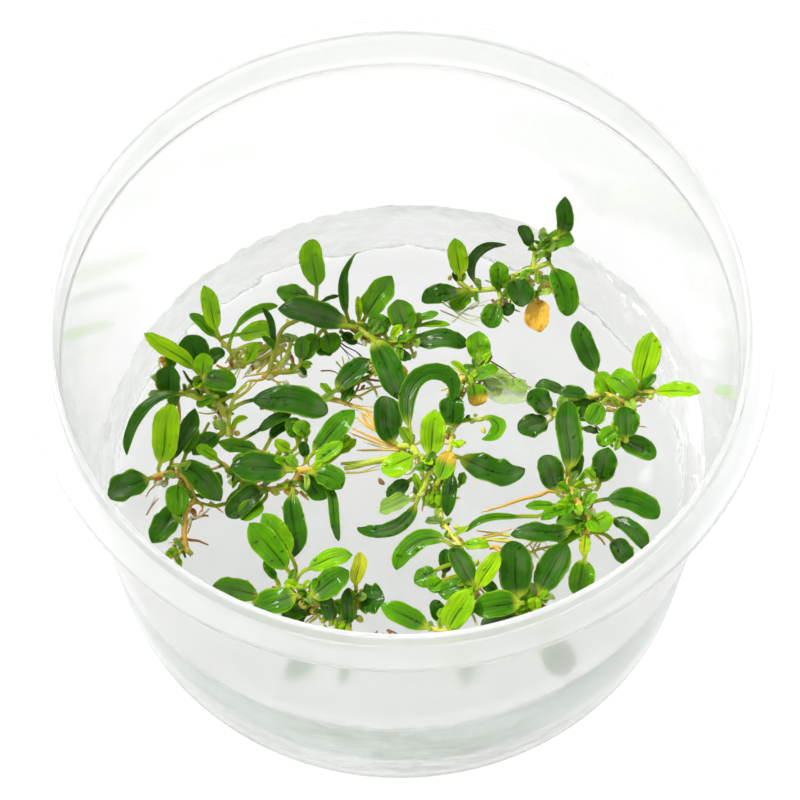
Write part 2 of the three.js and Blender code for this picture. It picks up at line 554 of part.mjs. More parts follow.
        along: [
          [4.3, -4.4, 4.4], [6.4, -3.4, 3], [7.4, 0.8, 2], [7.3, 2.9, 1.8], [9.2, 4.3, 1.4],
          [11.7, 4.4, 1.4],
        ],
      },
    ],
    leaves: [
      leaf('dark', [-0.1, 0.6, 1.6], [-1.6, 6.9, 5], 3.8, { cup: 0.25, tone: 0.15 }),
      leaf('arch', [1.8, 0.4, 3], [6, 5.2, 4.7], 2.4, {
        droop: 60, sweep: -215, ease: 1.4, cup: 0.25, tone: 0.3, stalk: 0.1,
      }),
      leaf('bright', [4.2, -4.3, 5.5], [5, 1.6, 10], 3.4, {
        droop: 15, cup: 0.15, tone: 0.9, stalk: 0.08,
      }),
      leaf('ribbed', [7.2, 2.5, 2], [8.2, 7.1, 4], 3.5, { tone: 0.3 }),
      leaf('orange', [5.3, -7.9, 5], [7.2, -3.7, 7], 2.7, { droop: 15, tone: 0.8 }),
      leaf('down', [7.5, -4.6, 3.4], [6.7, -11.7, 1.7], 2.1, { droop: 30, cup: 0.3, tone: 0.3 }),
      leaf('lime', [2.4, -3.3, 5], [-2.6, -5.4, 4.5], 3.5, { cup: 0.1, tone: 0.85 }),
      leaf('low', [1.7, -5.8, 2.5], [-1.8, -8.2, 1], 2.4, { droop: 30, cup: 0.3, tone: 0.3 }),
      leaf('curl', [2.6, -8.7, 2], [-5.9, -13.3, 1], 2.2, {
        droop: 60, sweep: -95, cup: 0.3, tone: 0.22, stalk: 0.08,
      }),
      leaf('long', [8.2, -2.9, 3], [17.9, -5.3, 2.5], 3.5, {
        droop: 25, sweep: 25, tone: 0.2, stalk: 0.05,
      }),
      leaf('seed', [8.5, -6.2, 1], [9.2, -4.9, 2.5], 1.3, { droop: 10, tone: 0.6 }),
      leaf('pale', [4.9, -7.5, 3], [4.9, -9.9, 1], 1.5, { cup: 0.3, tone: 0.88 }),
      leaf('ring', [11.7, 4.3, 1.5], [11.8, 1.1, 1.5], 2.1, {
        droop: 15, sweep: -235, cup: 0.3, tone: 0.6, stalk: 0.05,
      }),
    ],
  },
  sprig: {
    stems: [
      { thick: 0.9, along: [[7.8, 9.3, 0.8], [9, 11.2, 1.6], [10.3, 11.9, 2], [11.5, 13.1, 2]] },
    ],
    leaves: [
      leaf('slim', [9.9, 11.9, 2], [7.4, 13.5, 3], 1, { droop: 10, sweep: 20, cup: 0.3, tone: 0.88 }),
      leaf('upright', [11.5, 13.3, 2], [11.5, 17.6, 5], 3.3, { droop: 15, cup: 0.25, tone: 0.7 }),
      leaf('side', [10, 11.1, 2], [14.3, 11.9, 3.5], 2.1, { droop: 30, cup: 0.3, tone: 0.6 }),
      leaf('amber', [10.4, 10, 3.2], [11.3, 7, 1], 2.8, { droop: 40, tone: 0.8 }),
      leaf('ghost', [12, 9.3, 0.8], [18.9, 8.5, 0.8], 2.8, { droop: 5, cup: 0.1, tone: 1 }),
    ],
  },
  back_right: {
    stems: [
      {
        thick: 1,
        along: [
          [8.7, 28.1, 2.4], [10.5, 26.8, 1.9], [12.4, 26.4, 2.4], [14.6, 26.5, 2.9],
          [16.5, 27.8, 3.6], [19.2, 28.3, 4.6], [22.1, 29.3, 4.9],
        ],
      },
      { thick: 0.9, along: [[19.8, 28.4, 4.7], [20.2, 31.2, 5.9], [23.5, 32.4, 7.2]] },
      { thick: 0.6, along: [[19.8, 28.4, 4.7], [21, 27.1, 3], [20.4, 25.4, 2]] },
      { thick: 0.7, along: [[14.6, 26.5, 2.9], [14.9, 24.4, 1.9]] },
    ],
    leaves: [
      leaf('bright', [8.9, 28.3, 3], [8.1, 33, 7], 2.8, {
        droop: 15, cup: 0.25, tone: 0.85, stalk: 0.05,
      }),
      leaf('hook', [12.2, 27.3, 1.3], [15.8, 32.3, 5.7], 1.5, {
        droop: 50, sweep: -185, roll: 10, cup: 0.25, tone: 0.15,
      }),
      leaf('dark', [9.6, 26.1, 3], [3.2, 24.7, 2.5], 3.1, { cup: 0.15, tone: 0.2 }),
      leaf('light', [10.5, 26.7, 1.5], [7.8, 24, 1], 2.8, { tone: 0.65 }),
      leaf('tiny', [8.9, 28.6, 1], [7.8, 29.7, 2.5], 1.1, { droop: 10, tone: 0.2 }),
      leaf('round', [14.6, 26.3, 3], [14.4, 29.2, 6], 2.8, { cup: 0.3, tone: 0.6 }),
      leaf('shade', [16.7, 27.4, 4.5], [18.1, 22.5, 3.4], 3.8, { droop: 30, tone: 0.2 }),
      leaf('fork', [14.7, 24.1, 2.5], [13.1, 20.5, 1], 3.1, { droop: 30, tone: 0.45 }),
      leaf('knob', [15.1, 24.3, 1.5], [16.7, 23, 0.7], 2.2, { tone: 0.2 }),
      leaf('amber', [20.2, 25.2, 2], [20.7, 19.5, 0.8], 3.5, { cup: 0.3, tone: 2 }),
      leaf('fall', [22.1, 29, 5], [24.7, 21.5, 2], 3.5, {
        droop: 55, sweep: -30, cup: 0.15, tone: 0.45,
      }),
      leaf('horn', [23.4, 32.4, 7.5], [24.2, 36, 12.9], 2.5, { sweep: 45, tone: 0.3, stalk: 0.05 }),
      leaf('wing', [20.5, 31.1, 6], [25.8, 31.8, 6.8], 3.1, {
        droop: 40, sweep: -25, cup: 0.25, tone: 0.65,
      }),
      leaf('keel', [19.8, 31.2, 6], [17.6, 34.1, 8], 2, { droop: 10, cup: 0.5, tone: 0.3 }),
    ],
  },
  right: {
    stems: [
      {
        thick: 1.1,
        along: [
          [27.5, 7, 2.6], [29.4, 7.4, 2.6], [31.4, 6.5, 2.8], [33.2, 6.2, 2.8],
          [34.7, 7.5, 2.8], [36.6, 7.3, 3],
        ],
      },
      { thick: 0.8, along: [[31.4, 6.5, 2.8], [31.4, 3.3, 2.6], [31, 0.9, 2.4], [32.3, -1.1, 3.4]] },
      { thick: 0.8, along: [[29.4, 7.4, 2.6], [26.1, 6.7, 1.8], [22, 4.4, 1.8]] },
    ],
    leaves: [
      leaf('spur', [28.9, 9.6, 3], [25.8, 17.6, 7], 3.1, {
        droop: 15, sweep: -20, tone: 0.3, stalk: 0.15,
      }),
      leaf('bright', [34.7, 8.1, 3], [36.4, 15.3, 7], 3.6, { droop: 15, cup: 0.15, tone: 0.85 }),
      leaf('bow', [29.8, 9.6, 3], [34, 6.5, 4], 3.4, { droop: 110, sweep: -40, tone: 0.7 }),
      leaf('right', [36.6, 7.3, 3.1], [42.9, 4.9, 6.5], 2.5, { cup: 0.25, tone: 0.85, stalk: 0.05 }),
      leaf('slip', [34, 7, 2.5], [36.9, 7.9, 2.6], 1.4, { droop: 30, cup: 0.3, tone: 0.6 }),
      leaf('left', [27.5, 6.4, 3.4], [22.8, 7.6, 3.4], 2, { droop: 30, tone: 0.2 }),
      leaf('mid', [28.7, 7.3, 2], [25.6, 3.5, 2], 3.4, { droop: 30, tone: 0.35 }),
      leaf('green', [29.3, 5.6, 3.5], [27.1, 2.3, 2.9], 2.8, { droop: 30, cup: 0.15, tone: 0.6 }),
      leaf('strap', [24.8, 8.5, 1.6], [19.6, 9.6, 1.8], 1.7, { droop: 70, tone: 0.25 }),
      leaf('shade', [22, 4.7, 2], [18.7, 7.8, 3.5], 3.4, { droop: 15, cup: 0.1, tone: 0.2 }),
      leaf('wet', [21.9, 4.2, 1.3], [17, 2.6, 1.1], 3.5, { droop: 15, tone: 0.12 }),
      leaf('grey', [32.3, -1.5, 4], [32, 3.3, 6], 3.6, { cup: 0.1, tone: 0.38 }),
      leaf('pale', [31.6, 1.5, 3.7], [28.4, -0.8, 2], 2.5, { droop: 30, cup: 0.1, tone: 0.65 }),
      leaf('tongue', [31, 0.7, 2.5], [36.5, -2.8, 1.5], 3.2, { droop: 25, cup: 0.15, tone: 0.4 }),
      leaf('slit', [26, 2.7, 1], [28.6, 1.8, 1], 1.1, { tone: 0.2 }),
    ],
  },
  right_front: {
    stems: [
      {
        thick: 1.3,
        along: [
          [24, -5.5, 2.6], [24, -8, 3.5], [24.6, -10.6, 4], [25.7, -12, 3.8],
          [26.6, -13.4, 3.3], [26.2, -15.5, 2.5],
        ],
      },
    ],
    leaves: [
      leaf('tall', [23.8, -6.2, 3.5], [23.9, 4, 7], 3.5, { droop: 15, tone: 0.33, stalk: 0.06 }),
      leaf('left', [22.3, -9.2, 3], [20.3, -4.3, 5.9], 3.5, {
        droop: 15, cup: 0.15, tone: 0.3, stalk: 0.1,
      }),
      leaf('right', [26.9, -10.8, 3], [36.2, -13.8, 3.5], 3.4, {
        droop: 35, sweep: -60, tone: 0.32, stalk: 0.25,
      }),
      leaf('yellow', [22.4, -10.1, 1.2], [17.8, -10, 0.9], 1.5, { cup: 0.3, tone: 0.6 }),
      leaf('mid', [24.1, -10.5, 2], [19.9, -12.5, 1.4], 1.7, { tone: 0.6 }),
      leaf('round', [26.8, -12.8, 3.5], [28.7, -16.1, 4.1], 3.8, { cup: 0.1, tone: 0.7, stalk: 0.1 }),
      leaf('arch', [29, -12.7, 2.5], [34.5, -18.2, 2], 2.4, {
        droop: 60, sweep: -40, cup: 0.25, tone: 0.25, stalk: 0.15,
      }),
      leaf('tip', [29.4, -16, 2], [32.1, -19.6, 0.8], 2.9, { droop: 25, cup: 0.4, tone: 0.15 }),
      leaf('bud', [26.1, -15.5, 2.6], [25.7, -18.9, 2.1], 1.5, { droop: 10, cup: 0.3, tone: 0.9 }),
      leaf('oval', [25.8, -19.1, 2], [24.6, -24.6, 1], 3.4, {
        droop: 25, cup: 0.15, tone: 0.6, stalk: 0.06,
      }),
      leaf('low', [24.8, -14.3, 2.5], [15.5, -15.3, 2.5], 2.9, {
        sweep: -18, cup: 0.15, tone: 0.28, stalk: 0.08,
      }),
      leaf('strap', [18.1, -11.7, 1], [9.3, -13.9, 1], 1.1, {
        droop: 60, sweep: 30, cup: 0.4, tone: 0.55,
      }),
      leaf('upper', [28.2, -7.4, 1.5], [29.6, -2.8, 5], 3.4, { droop: 15, cup: 0.1, tone: 0.3 }),
    ],
  },
  front: {
    stems: [
      {
        thick: 0.8,
        along: [
          [6.1, -7.4, 1], [5.9, -11.5, 1], [7.1, -14.2, 1.5], [8.2, -16.1, 2],
          [9.6, -19, 1.6], [10.7, -23.4, 2.7],
        ],
      },
      {
        thick: 0.9,
        along: [[10.7, -23.4, 2.7], [9.3, -26.1, 1.3], [6.6, -29.7, 1.7], [4.4, -29.4, 1.7]],
      },
    ],
    leaves: [
      leaf('hook', [7, -16.7, 2.5], [0.5, -20, 1], 1.8, { droop: 50, sweep: 85, cup: 0.3, tone: 0.45 }),
      leaf('lean', [10.5, -23.7, 3], [6.9, -18.5, 5], 2.9, { droop: 15, tone: 0.35, stalk: 0.05 }),
      leaf('shade', [6.1, -20.9, 1], [6.4, -17.5, 3], 1.8, { droop: 10, tone: 0.3 }),
      leaf('left', [5.4, -20.4, 2.4], [2, -22.1, 1.5], 2.9, { droop: 15, cup: 0.15, tone: 0.5 }),
      leaf('mid', [9.8, -23.2, 2.6], [5.2, -23.8, 2.1], 2.8, { cup: 0.15, tone: 0.45 }),
      leaf('bright', [6.6, -30.3, 2], [9.8, -25.7, 6.5], 3.6, { tone: 0.85, stalk: 0.06 }),
      leaf('long', [4.2, -29.7, 2], [-2.7, -26.3, 3.5], 3.1, { cup: 0.25, tone: 0.55, stalk: 0.06 }),
      leaf('dark', [5.6, -28.5, 1], [4.7, -25.5, 3], 2, { droop: 10, tone: 0.22 }),
      leaf('yellow', [10.8, -24.4, 3.8], [13.5, -20.6, 7.7], 2.5, {
        droop: 10, tone: 0.92, stalk: 0.05,
      }),
      leaf('tongue', [8.4, -16.1, 2], [12.6, -16.9, 2], 1.7, { droop: 15, cup: 0.15, tone: 0.85 }),
    ],
  },
  front_right: {
    stems: [
      { thick: 1, along: [[16.4, -26.2, 2.6], [18, -26.3, 1.8], [19.1, -25.3, 2]] },
    ],
    leaves: [
      leaf('tall', [16.4, -26.1, 3], [15.5, -18.5, 7], 4.5, { cup: 0.1, tone: 0.25, stalk: 0.05 }),
      leaf('flat', [16.9, -27, 4.3], [10, -27.8, 3.9], 3.8, { cup: 0.15, tone: 0.42, stalk: 0.04 }),
      leaf('under', [16.7, -27.1, 1.2], [11.2, -28.9, 0.9], 2.5, { droop: 10, cup: 0.15, tone: 0.15 }),
      leaf('shade', [14, -23.6, 1], [11.4, -23.2, 2], 2, { droop: 10, tone: 0.22 }),
      leaf('back', [19.1, -25.3, 2.5], [23.1, -18.6, 6], 3.9, { cup: 0.15, tone: 0.3, stalk: 0.08 }),
      leaf('bud', [18.6, -27.4, 2], [18.8, -25.7, 3.5], 1.8, { cup: 0.3, tone: 0.9 }),
    ],
  },
};

const DARK_GREEN = new THREE.Color(0.035, 0.1, 0.035);
const LIME_GREEN = new THREE.Color(0.3, 0.5, 0.05);
const AMBER = new THREE.Color(0.55, 0.38, 0.06);
const STEM_GREEN = new THREE.Color(0.25, 0.33, 0.06);

function leafColour(tone) {
  if (tone > 1.5) {
    return AMBER.clone();
  }
  return DARK_GREEN.clone().lerp(LIME_GREEN, tone);
}

const part = new THREE.Group();

function addPiece(name, geometry, settings) {
  const mesh = new THREE.Mesh(geometry, new THREE.MeshStandardMaterial(settings));
  mesh.name = name;
  part.add(mesh);
}

addPiece('cup', cupGeometry(), { color: 0xf4f6f6, roughness: 0.12, transparent: true, opacity: 0.35 });
addPiece('gel', gelGeometry(), { color: 0xdfe4da, roughness: 0.2, transparent: true, opacity: 0.6 });

// Two leaves that cross can close a tiny pocket between them: only the outer skin of each union is kept.
for (const [plant, { stems, leaves }] of Object.entries(PLANTS)) {
  const small = leaves.filter((item) => area(item) < SEPARATE_AREA);
  const grown = [
    ...stems.map(barGeometry),
    ...small.map((item) => leafGeometry(item, stems, false)),
  ].map(toSolid);
  const joined = grown.reduce((sum, solid) => sum.add(solid));
  const [whole] = joined.decompose().sort((a, b) => b.volume() - a.volume());
  addPiece(`${plant}_stem`, toGeometry(whole), { color: STEM_GREEN, roughness: 0.4 });
  for (const item of leaves.filter((each) => area(each) >= SEPARATE_AREA)) {
    const settings = { color: leafColour(item.tone), roughness: 0.3 };
    addPiece(`${plant}_leaf_${item.name}`, leafGeometry(item, stems, true), settings);
  }
}

export default part;
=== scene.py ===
# %% [markdown]
# # A tissue culture cup of slim-leaved water plants
#
# The object is a clear plastic cup with a slab of clear jelly in it. Thirteen plantlets of a slow water plant
# creep over the jelly: each has a knobbly stem, thin roots and a few dozen thick, glossy leaves.
#
# The packed solids say where everything is. This lesson dresses them: it grows finer leaves along the same
# midribs, turns a finer cup from the same outline, and gives each piece a material made of nodes.
#
# The object's own measures are in millimetres, and `MM` turns them into metres where they meet a mesh.

# %% Load the packed solids
import math
import random

import bmesh
import bpy
import numpy as np
from mathutils import Matrix, Vector, noise


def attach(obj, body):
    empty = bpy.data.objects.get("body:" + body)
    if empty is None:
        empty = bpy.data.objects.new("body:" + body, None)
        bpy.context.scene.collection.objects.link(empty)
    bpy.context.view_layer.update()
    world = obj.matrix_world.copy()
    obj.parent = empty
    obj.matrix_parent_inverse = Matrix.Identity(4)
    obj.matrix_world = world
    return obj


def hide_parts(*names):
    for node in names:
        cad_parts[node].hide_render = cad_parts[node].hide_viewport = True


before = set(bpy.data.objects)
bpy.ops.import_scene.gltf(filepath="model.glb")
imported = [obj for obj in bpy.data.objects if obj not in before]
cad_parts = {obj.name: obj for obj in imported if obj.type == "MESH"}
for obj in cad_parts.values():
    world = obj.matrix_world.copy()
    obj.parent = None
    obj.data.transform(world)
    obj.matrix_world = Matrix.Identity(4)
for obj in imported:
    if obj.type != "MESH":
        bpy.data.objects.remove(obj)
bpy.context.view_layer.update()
scene = bpy.context.scene
MM = 0.001


def placed(name, data):
    """A new object at the origin for a mesh, a lamp or a camera."""
    thing = bpy.data.objects.new(name, data)
    scene.collection.objects.link(thing)
    return thing


# %% [markdown]
# ## The camera
#
# The photograph looks down into the cup at about sixty degrees. A camera is found from such a picture by
# matching the ellipses that the rim and the foot make: the rim is 378 pixels wide from middle to side, and
# the foot's smaller size gives the distance. The result is kept here as a distance, an angle and a focal
# length in pixels, which is easy to turn into Blender's lens.

# %% Camera
CAMERA_DISTANCE = 396.9 * MM
CAMERA_RISE = math.radians(61.23)
CAMERA_AIM = Vector((0, 0, 34.78 * MM))
FOCAL_PIXELS = 2842.4
PICTURE_PIXELS = 800

camera_data = bpy.data.cameras.new("camera")
camera_data.sensor_width = 36
camera_data.lens = camera_data.sensor_width * FOCAL_PIXELS / PICTURE_PIXELS
camera_data.clip_start = 0.01
camera = placed("camera", camera_data)
toward = Vector((0, -math.cos(CAMERA_RISE), math.sin(CAMERA_RISE)))
camera.location = CAMERA_AIM + CAMERA_DISTANCE * toward
camera.rotation_euler = (math.pi / 2 - CAMERA_RISE, 0, 0)
scene.camera = camera
print("lens:", round(camera_data.lens, 1), "mm")

# %% [markdown]
# ## Writing node trees as sums
#
# A node tree is easier to read as a formula. The class below wraps one output of a node, so that `1 - mask`
# or `width * 0.5` adds the Math nodes which work it out. The graph's one `node` method makes every other
# kind: first the node's own settings, then a value or a link for each of its inputs.

# %% Sockets that can be added and multiplied


class Socket:
    """One number that a node gives out."""

    def __init__(self, graph, output):
        self.graph = graph
        self.output = output

    def __add__(self, other):
        return self.graph.maths("ADD", self, other)

    def __radd__(self, other):
        return self.graph.maths("ADD", other, self)

    def __sub__(self, other):
        return self.graph.maths("SUBTRACT", self, other)

    def __rsub__(self, other):
        return self.graph.maths("SUBTRACT", other, self)

    def __mul__(self, other):
        return self.graph.maths("MULTIPLY", self, other)

    def __rmul__(self, other):
        return self.graph.maths("MULTIPLY", other, self)

    def __truediv__(self, other):
        return self.graph.maths("DIVIDE", self, other)

    def __pow__(self, other):
        return self.graph.maths("POWER", self, other)

    def __neg__(self):
        return self.graph.maths("MULTIPLY", self, -1)


class Graph:
    """A tree of shader or geometry nodes that grows as it is written."""

    def __init__(self, tree):
        self.tree = tree

    def node(self, kind, settings=None, inputs=None, out=0):
        made = self.tree.nodes.new(kind)
        for name, value in (settings or {}).items():
            if name == "stops":
                self.set_stops(made.color_ramp, value)
            else:
                setattr(made, name, value)
        for key, value in (inputs or {}).items():
            if isinstance(value, Socket):
                self.tree.links.new(value.output, made.inputs[key])
            else:
                made.inputs[key].default_value = value
        return Socket(self, made.outputs[out]) if len(made.outputs) else made

    def set_stops(self, ramp, stops):
        while len(ramp.elements) < len(stops):
            ramp.elements.new(1)
        for element, (place, colour) in zip(ramp.elements, stops):
            element.position = place
            element.color = (*colour, 1)

    def maths(self, operation, a, b=0.0):
        return self.node("ShaderNodeMath", {"operation": operation}, {0: a, 1: b})

    def clamp(self, value):
        return self.node("ShaderNodeClamp", {}, {"Value": value})

    def mask(self, value, low, high):
        """0 where the value is below low, 1 above high and smooth between them."""
        spread = {"Value": value, "From Min": low, "From Max": high}
        return self.node("ShaderNodeMapRange", {"interpolation_type": "SMOOTHSTEP"}, spread)

    def mix(self, share, first, second):
        """Two colours, mixed."""
        return self.node("ShaderNodeMix", {"data_type": "RGBA"}, {0: share, 6: first, 7: second}, out=2)

    def stretch(self, vector, by):
        return self.node("ShaderNodeVectorMath", {"operation": "SCALE"}, {0: vector, "Scale": by})

    def together(self, one, other):
        return self.node("ShaderNodeVectorMath", {"operation": "ADD"}, {0: one, 1: other})

    def split(self, vector):
        """X, Y and Z of a vector as three numbers."""
        parts = self.tree.nodes.new("ShaderNodeSeparateXYZ")
        self.tree.links.new(vector.output, parts.inputs[0])
        return [Socket(self, output) for output in parts.outputs]

    def cloud(self, place, scale, detail=2.0):
        """Soft noise from 0 to 1 with so many lumps to the metre."""
        return self.node("ShaderNodeTexNoise", {}, {"Vector": place, "Scale": scale, "Detail": detail})


print("a socket knows", len([name for name in vars(Socket) if name.startswith("__")]), "special methods")

# %% [markdown]
# ## The rule of a leaf
#
# A leaf's midrib is a path that starts in some direction and turns a little at every step: it droops with the
# leaf's weight and sweeps to one side. It is walked in local axes first, then turned and scaled so that it
# runs from the leaf's foot to its tip. That keeps both ends where the solid has them, however the leaf bends.
#
# Heights are given above the jelly, whose top lies a little askew in the cup.

# %% The jelly's top and the midrib
GEL_TOP = 18.95
GEL_SLOPE = (0.0627, -0.0554)
WALK_STEPS = 48


def gel_top(x, y):
    return GEL_TOP + GEL_SLOPE[0] * x + GEL_SLOPE[1] * y


def on_gel(point):
    x, y, above = point
    return Vector((x, y, gel_top(x, y) + above))


PLAIN_LEAF = dict(droop=20, sweep=0, ease=1, roll=0, twist=0, cup=0.2, stalk=0.12, tone=0.4, age=0, pale=0)


def leaf(name, foot, tip, wide, **bend):
    return dict(name=name, foot=foot, tip=tip, wide=wide, **{**PLAIN_LEAF, **bend})


def turned(item, share):
    """The way along and the way across the leaf, in the axes of the walk."""
    side = math.radians(item["sweep"]) * share ** item["ease"]
    rise = -math.radians(item["droop"]) * share ** item["ease"]
    along = Vector((math.cos(rise) * math.cos(side), math.cos(rise) * math.sin(side), math.sin(rise)))
    return along, Vector((-math.sin(side), math.cos(side), 0))


def yaw(v):
    return math.atan2(v.y, v.x)


def pitch(v):
    return math.atan2(v.z, math.hypot(v.x, v.y))


def midrib(item, shares):
    """Places and directions on the midrib at the given shares of its length, in millimetres."""
    walk = [Vector((0, 0, 0))]
    for i in range(WALK_STEPS):
        walk.append(walk[-1] + turned(item, (i + 0.5) / WALK_STEPS)[0] / WALK_STEPS)
    foot = on_gel(item["foot"])
    chord = on_gel(item["tip"]) - foot
    end = walk[-1]
    turn = Matrix.Rotation(yaw(chord), 3, "Z")
    turn = turn @ Matrix.Rotation(pitch(end) - pitch(chord), 3, "Y")
    turn = turn @ Matrix.Rotation(-yaw(end), 3, "Z")
    long = chord.length / end.length
    stations = []
    for share in shares:
        step = min(int(share * WALK_STEPS), WALK_STEPS - 1)
        local = walk[step].lerp(walk[step + 1], share * WALK_STEPS - step)
        along, across = (turn @ v for v in turned(item, share))
        across = Matrix.Rotation(math.radians(item["roll"] + item["twist"] * share), 3, along) @ across
        place = turn @ local * long + foot
        stations.append(dict(share=share, place=place, along=along, across=across, up=along.cross(across)))
    return stations


trial = midrib(leaf("trial", (0, 0, 1), (9, 0, 4), 3), (0, 0.5, 1))
print("a trial leaf rises to", round(trial[1]["place"].z, 2), "mm half way")

# %% [markdown]
# ## The rule of a stem
#
# Stems and roots follow a few points. A centripetal Catmull-Rom curve passes through all of them without the
# overshoot that a plain one has where points lie close together.

# %% Curves through points


def curve_between(p0, p1, p2, p3, share):
    gaps = [max((b - a).length, 1e-6) ** 0.5 for a, b in ((p0, p1), (p1, p2), (p2, p3))]
    leave = ((p1 - p0) / gaps[0] - (p2 - p0) / (gaps[0] + gaps[1]) + (p2 - p1) / gaps[1]) * gaps[1]
    arrive = ((p2 - p1) / gaps[1] - (p3 - p1) / (gaps[1] + gaps[2]) + (p3 - p2) / gaps[2]) * gaps[1]
    square = 3 * (p2 - p1) - 2 * leave - arrive
    cube = 2 * (p1 - p2) + leave + arrive
    return p1 + leave * share + square * share**2 + cube * share**3


def through(points, step):
    """Points about a step apart on the curve through the given ones."""
    ends = [points[0] * 2 - points[1], *points, points[-1] * 2 - points[-2]]
    line = []
    for i in range(len(points) - 1):
        count = max(2, round((points[i + 1] - points[i]).length / step))
        line += [curve_between(*ends[i : i + 4], k / count) for k in range(count)]
    return line + [points[-1]]


trial = [Vector((0, 0, 0)), Vector((1, 1, 0)), Vector((3, 1, 0))]
print("a curve through three points has", len(through(trial, 0.5)), "points")

# %% [markdown]
# ## The plantlets, one by one
#
# Only numbers tell one plantlet from the next, so they stand in tables: a row for each stem, leaf or root,
# with bars between its cells. Each place is X, Y and the height above the jelly, in millimetres. A row that
# is too long goes on in the next line, which starts with a bar.
#
# - A stem has its thickness, then its points. A point without a height keeps the one before it.
# - A leaf has its name and width, its foot, its tip, then three numbers: its droop in degrees, how far its
#   edges are raised, and its tone from 0, the darkest green, to 1, lime. Words for rarer traits may follow.
#   Age turns a leaf amber, or only its tip where it is below zero.
# - A root has its paint and thickness, then its points.

# %% Reading a table
PLANTS = {}


def table(text):
    """The rows of a table, each a list of cells, each a list of words."""
    rows = text.strip().replace("\n      |", " |").splitlines()
    return [[cell.split() for cell in row.split("|")] for row in rows]


def run_of(cells):
    """A stem's or a root's points from the cells of its row."""
    points = []
    height = 0
    for cell in cells:
        x, y, *above = map(float, cell)
        height = above[0] if above else height
        points.append(on_gel((x, y, height)))
    return points


def read_leaf(cells):
    (name, wide), foot, tip, common, *more = cells
    bend = dict(zip(("droop", "cup", "tone"), map(float, common)))
    words = more[0] if more else []
    bend.update((word, float(value)) for word, value in zip(words[::2], words[1::2]))
    return leaf(name, tuple(map(float, foot)), tuple(map(float, tip)), float(wide), **bend)


def plantlet(name, skin, stems, leaves, roots):
    """Reads a plantlet's three tables. The skin is its stems' paint."""
    stems = [dict(thick=float(thick), points=run_of(rest)) for (thick,), *rest in table(stems)]
    leaves = [read_leaf(cells) for cells in table(leaves)]
    rows = [(paint, float(thick), run_of(rest)) for (paint, thick), *rest in table(roots)]
    roots = [dict(paint=paint, thick=thick, points=points) for paint, thick, points in rows]
    PLANTS[name] = dict(skin=skin, stems=stems, leaves=leaves, roots=roots)
    print(name + ":", len(stems), "stems,", len(leaves), "leaves,", len(roots), "roots")


print("a row of a table has", len(table("0.9 | 1 2 3 | 4 5")[0]), "cells")

# %% [markdown]
# ### The plantlet at the back left
#
# It has two crowns on one creeping stem and a fan of thin, pale yellow roots between them.

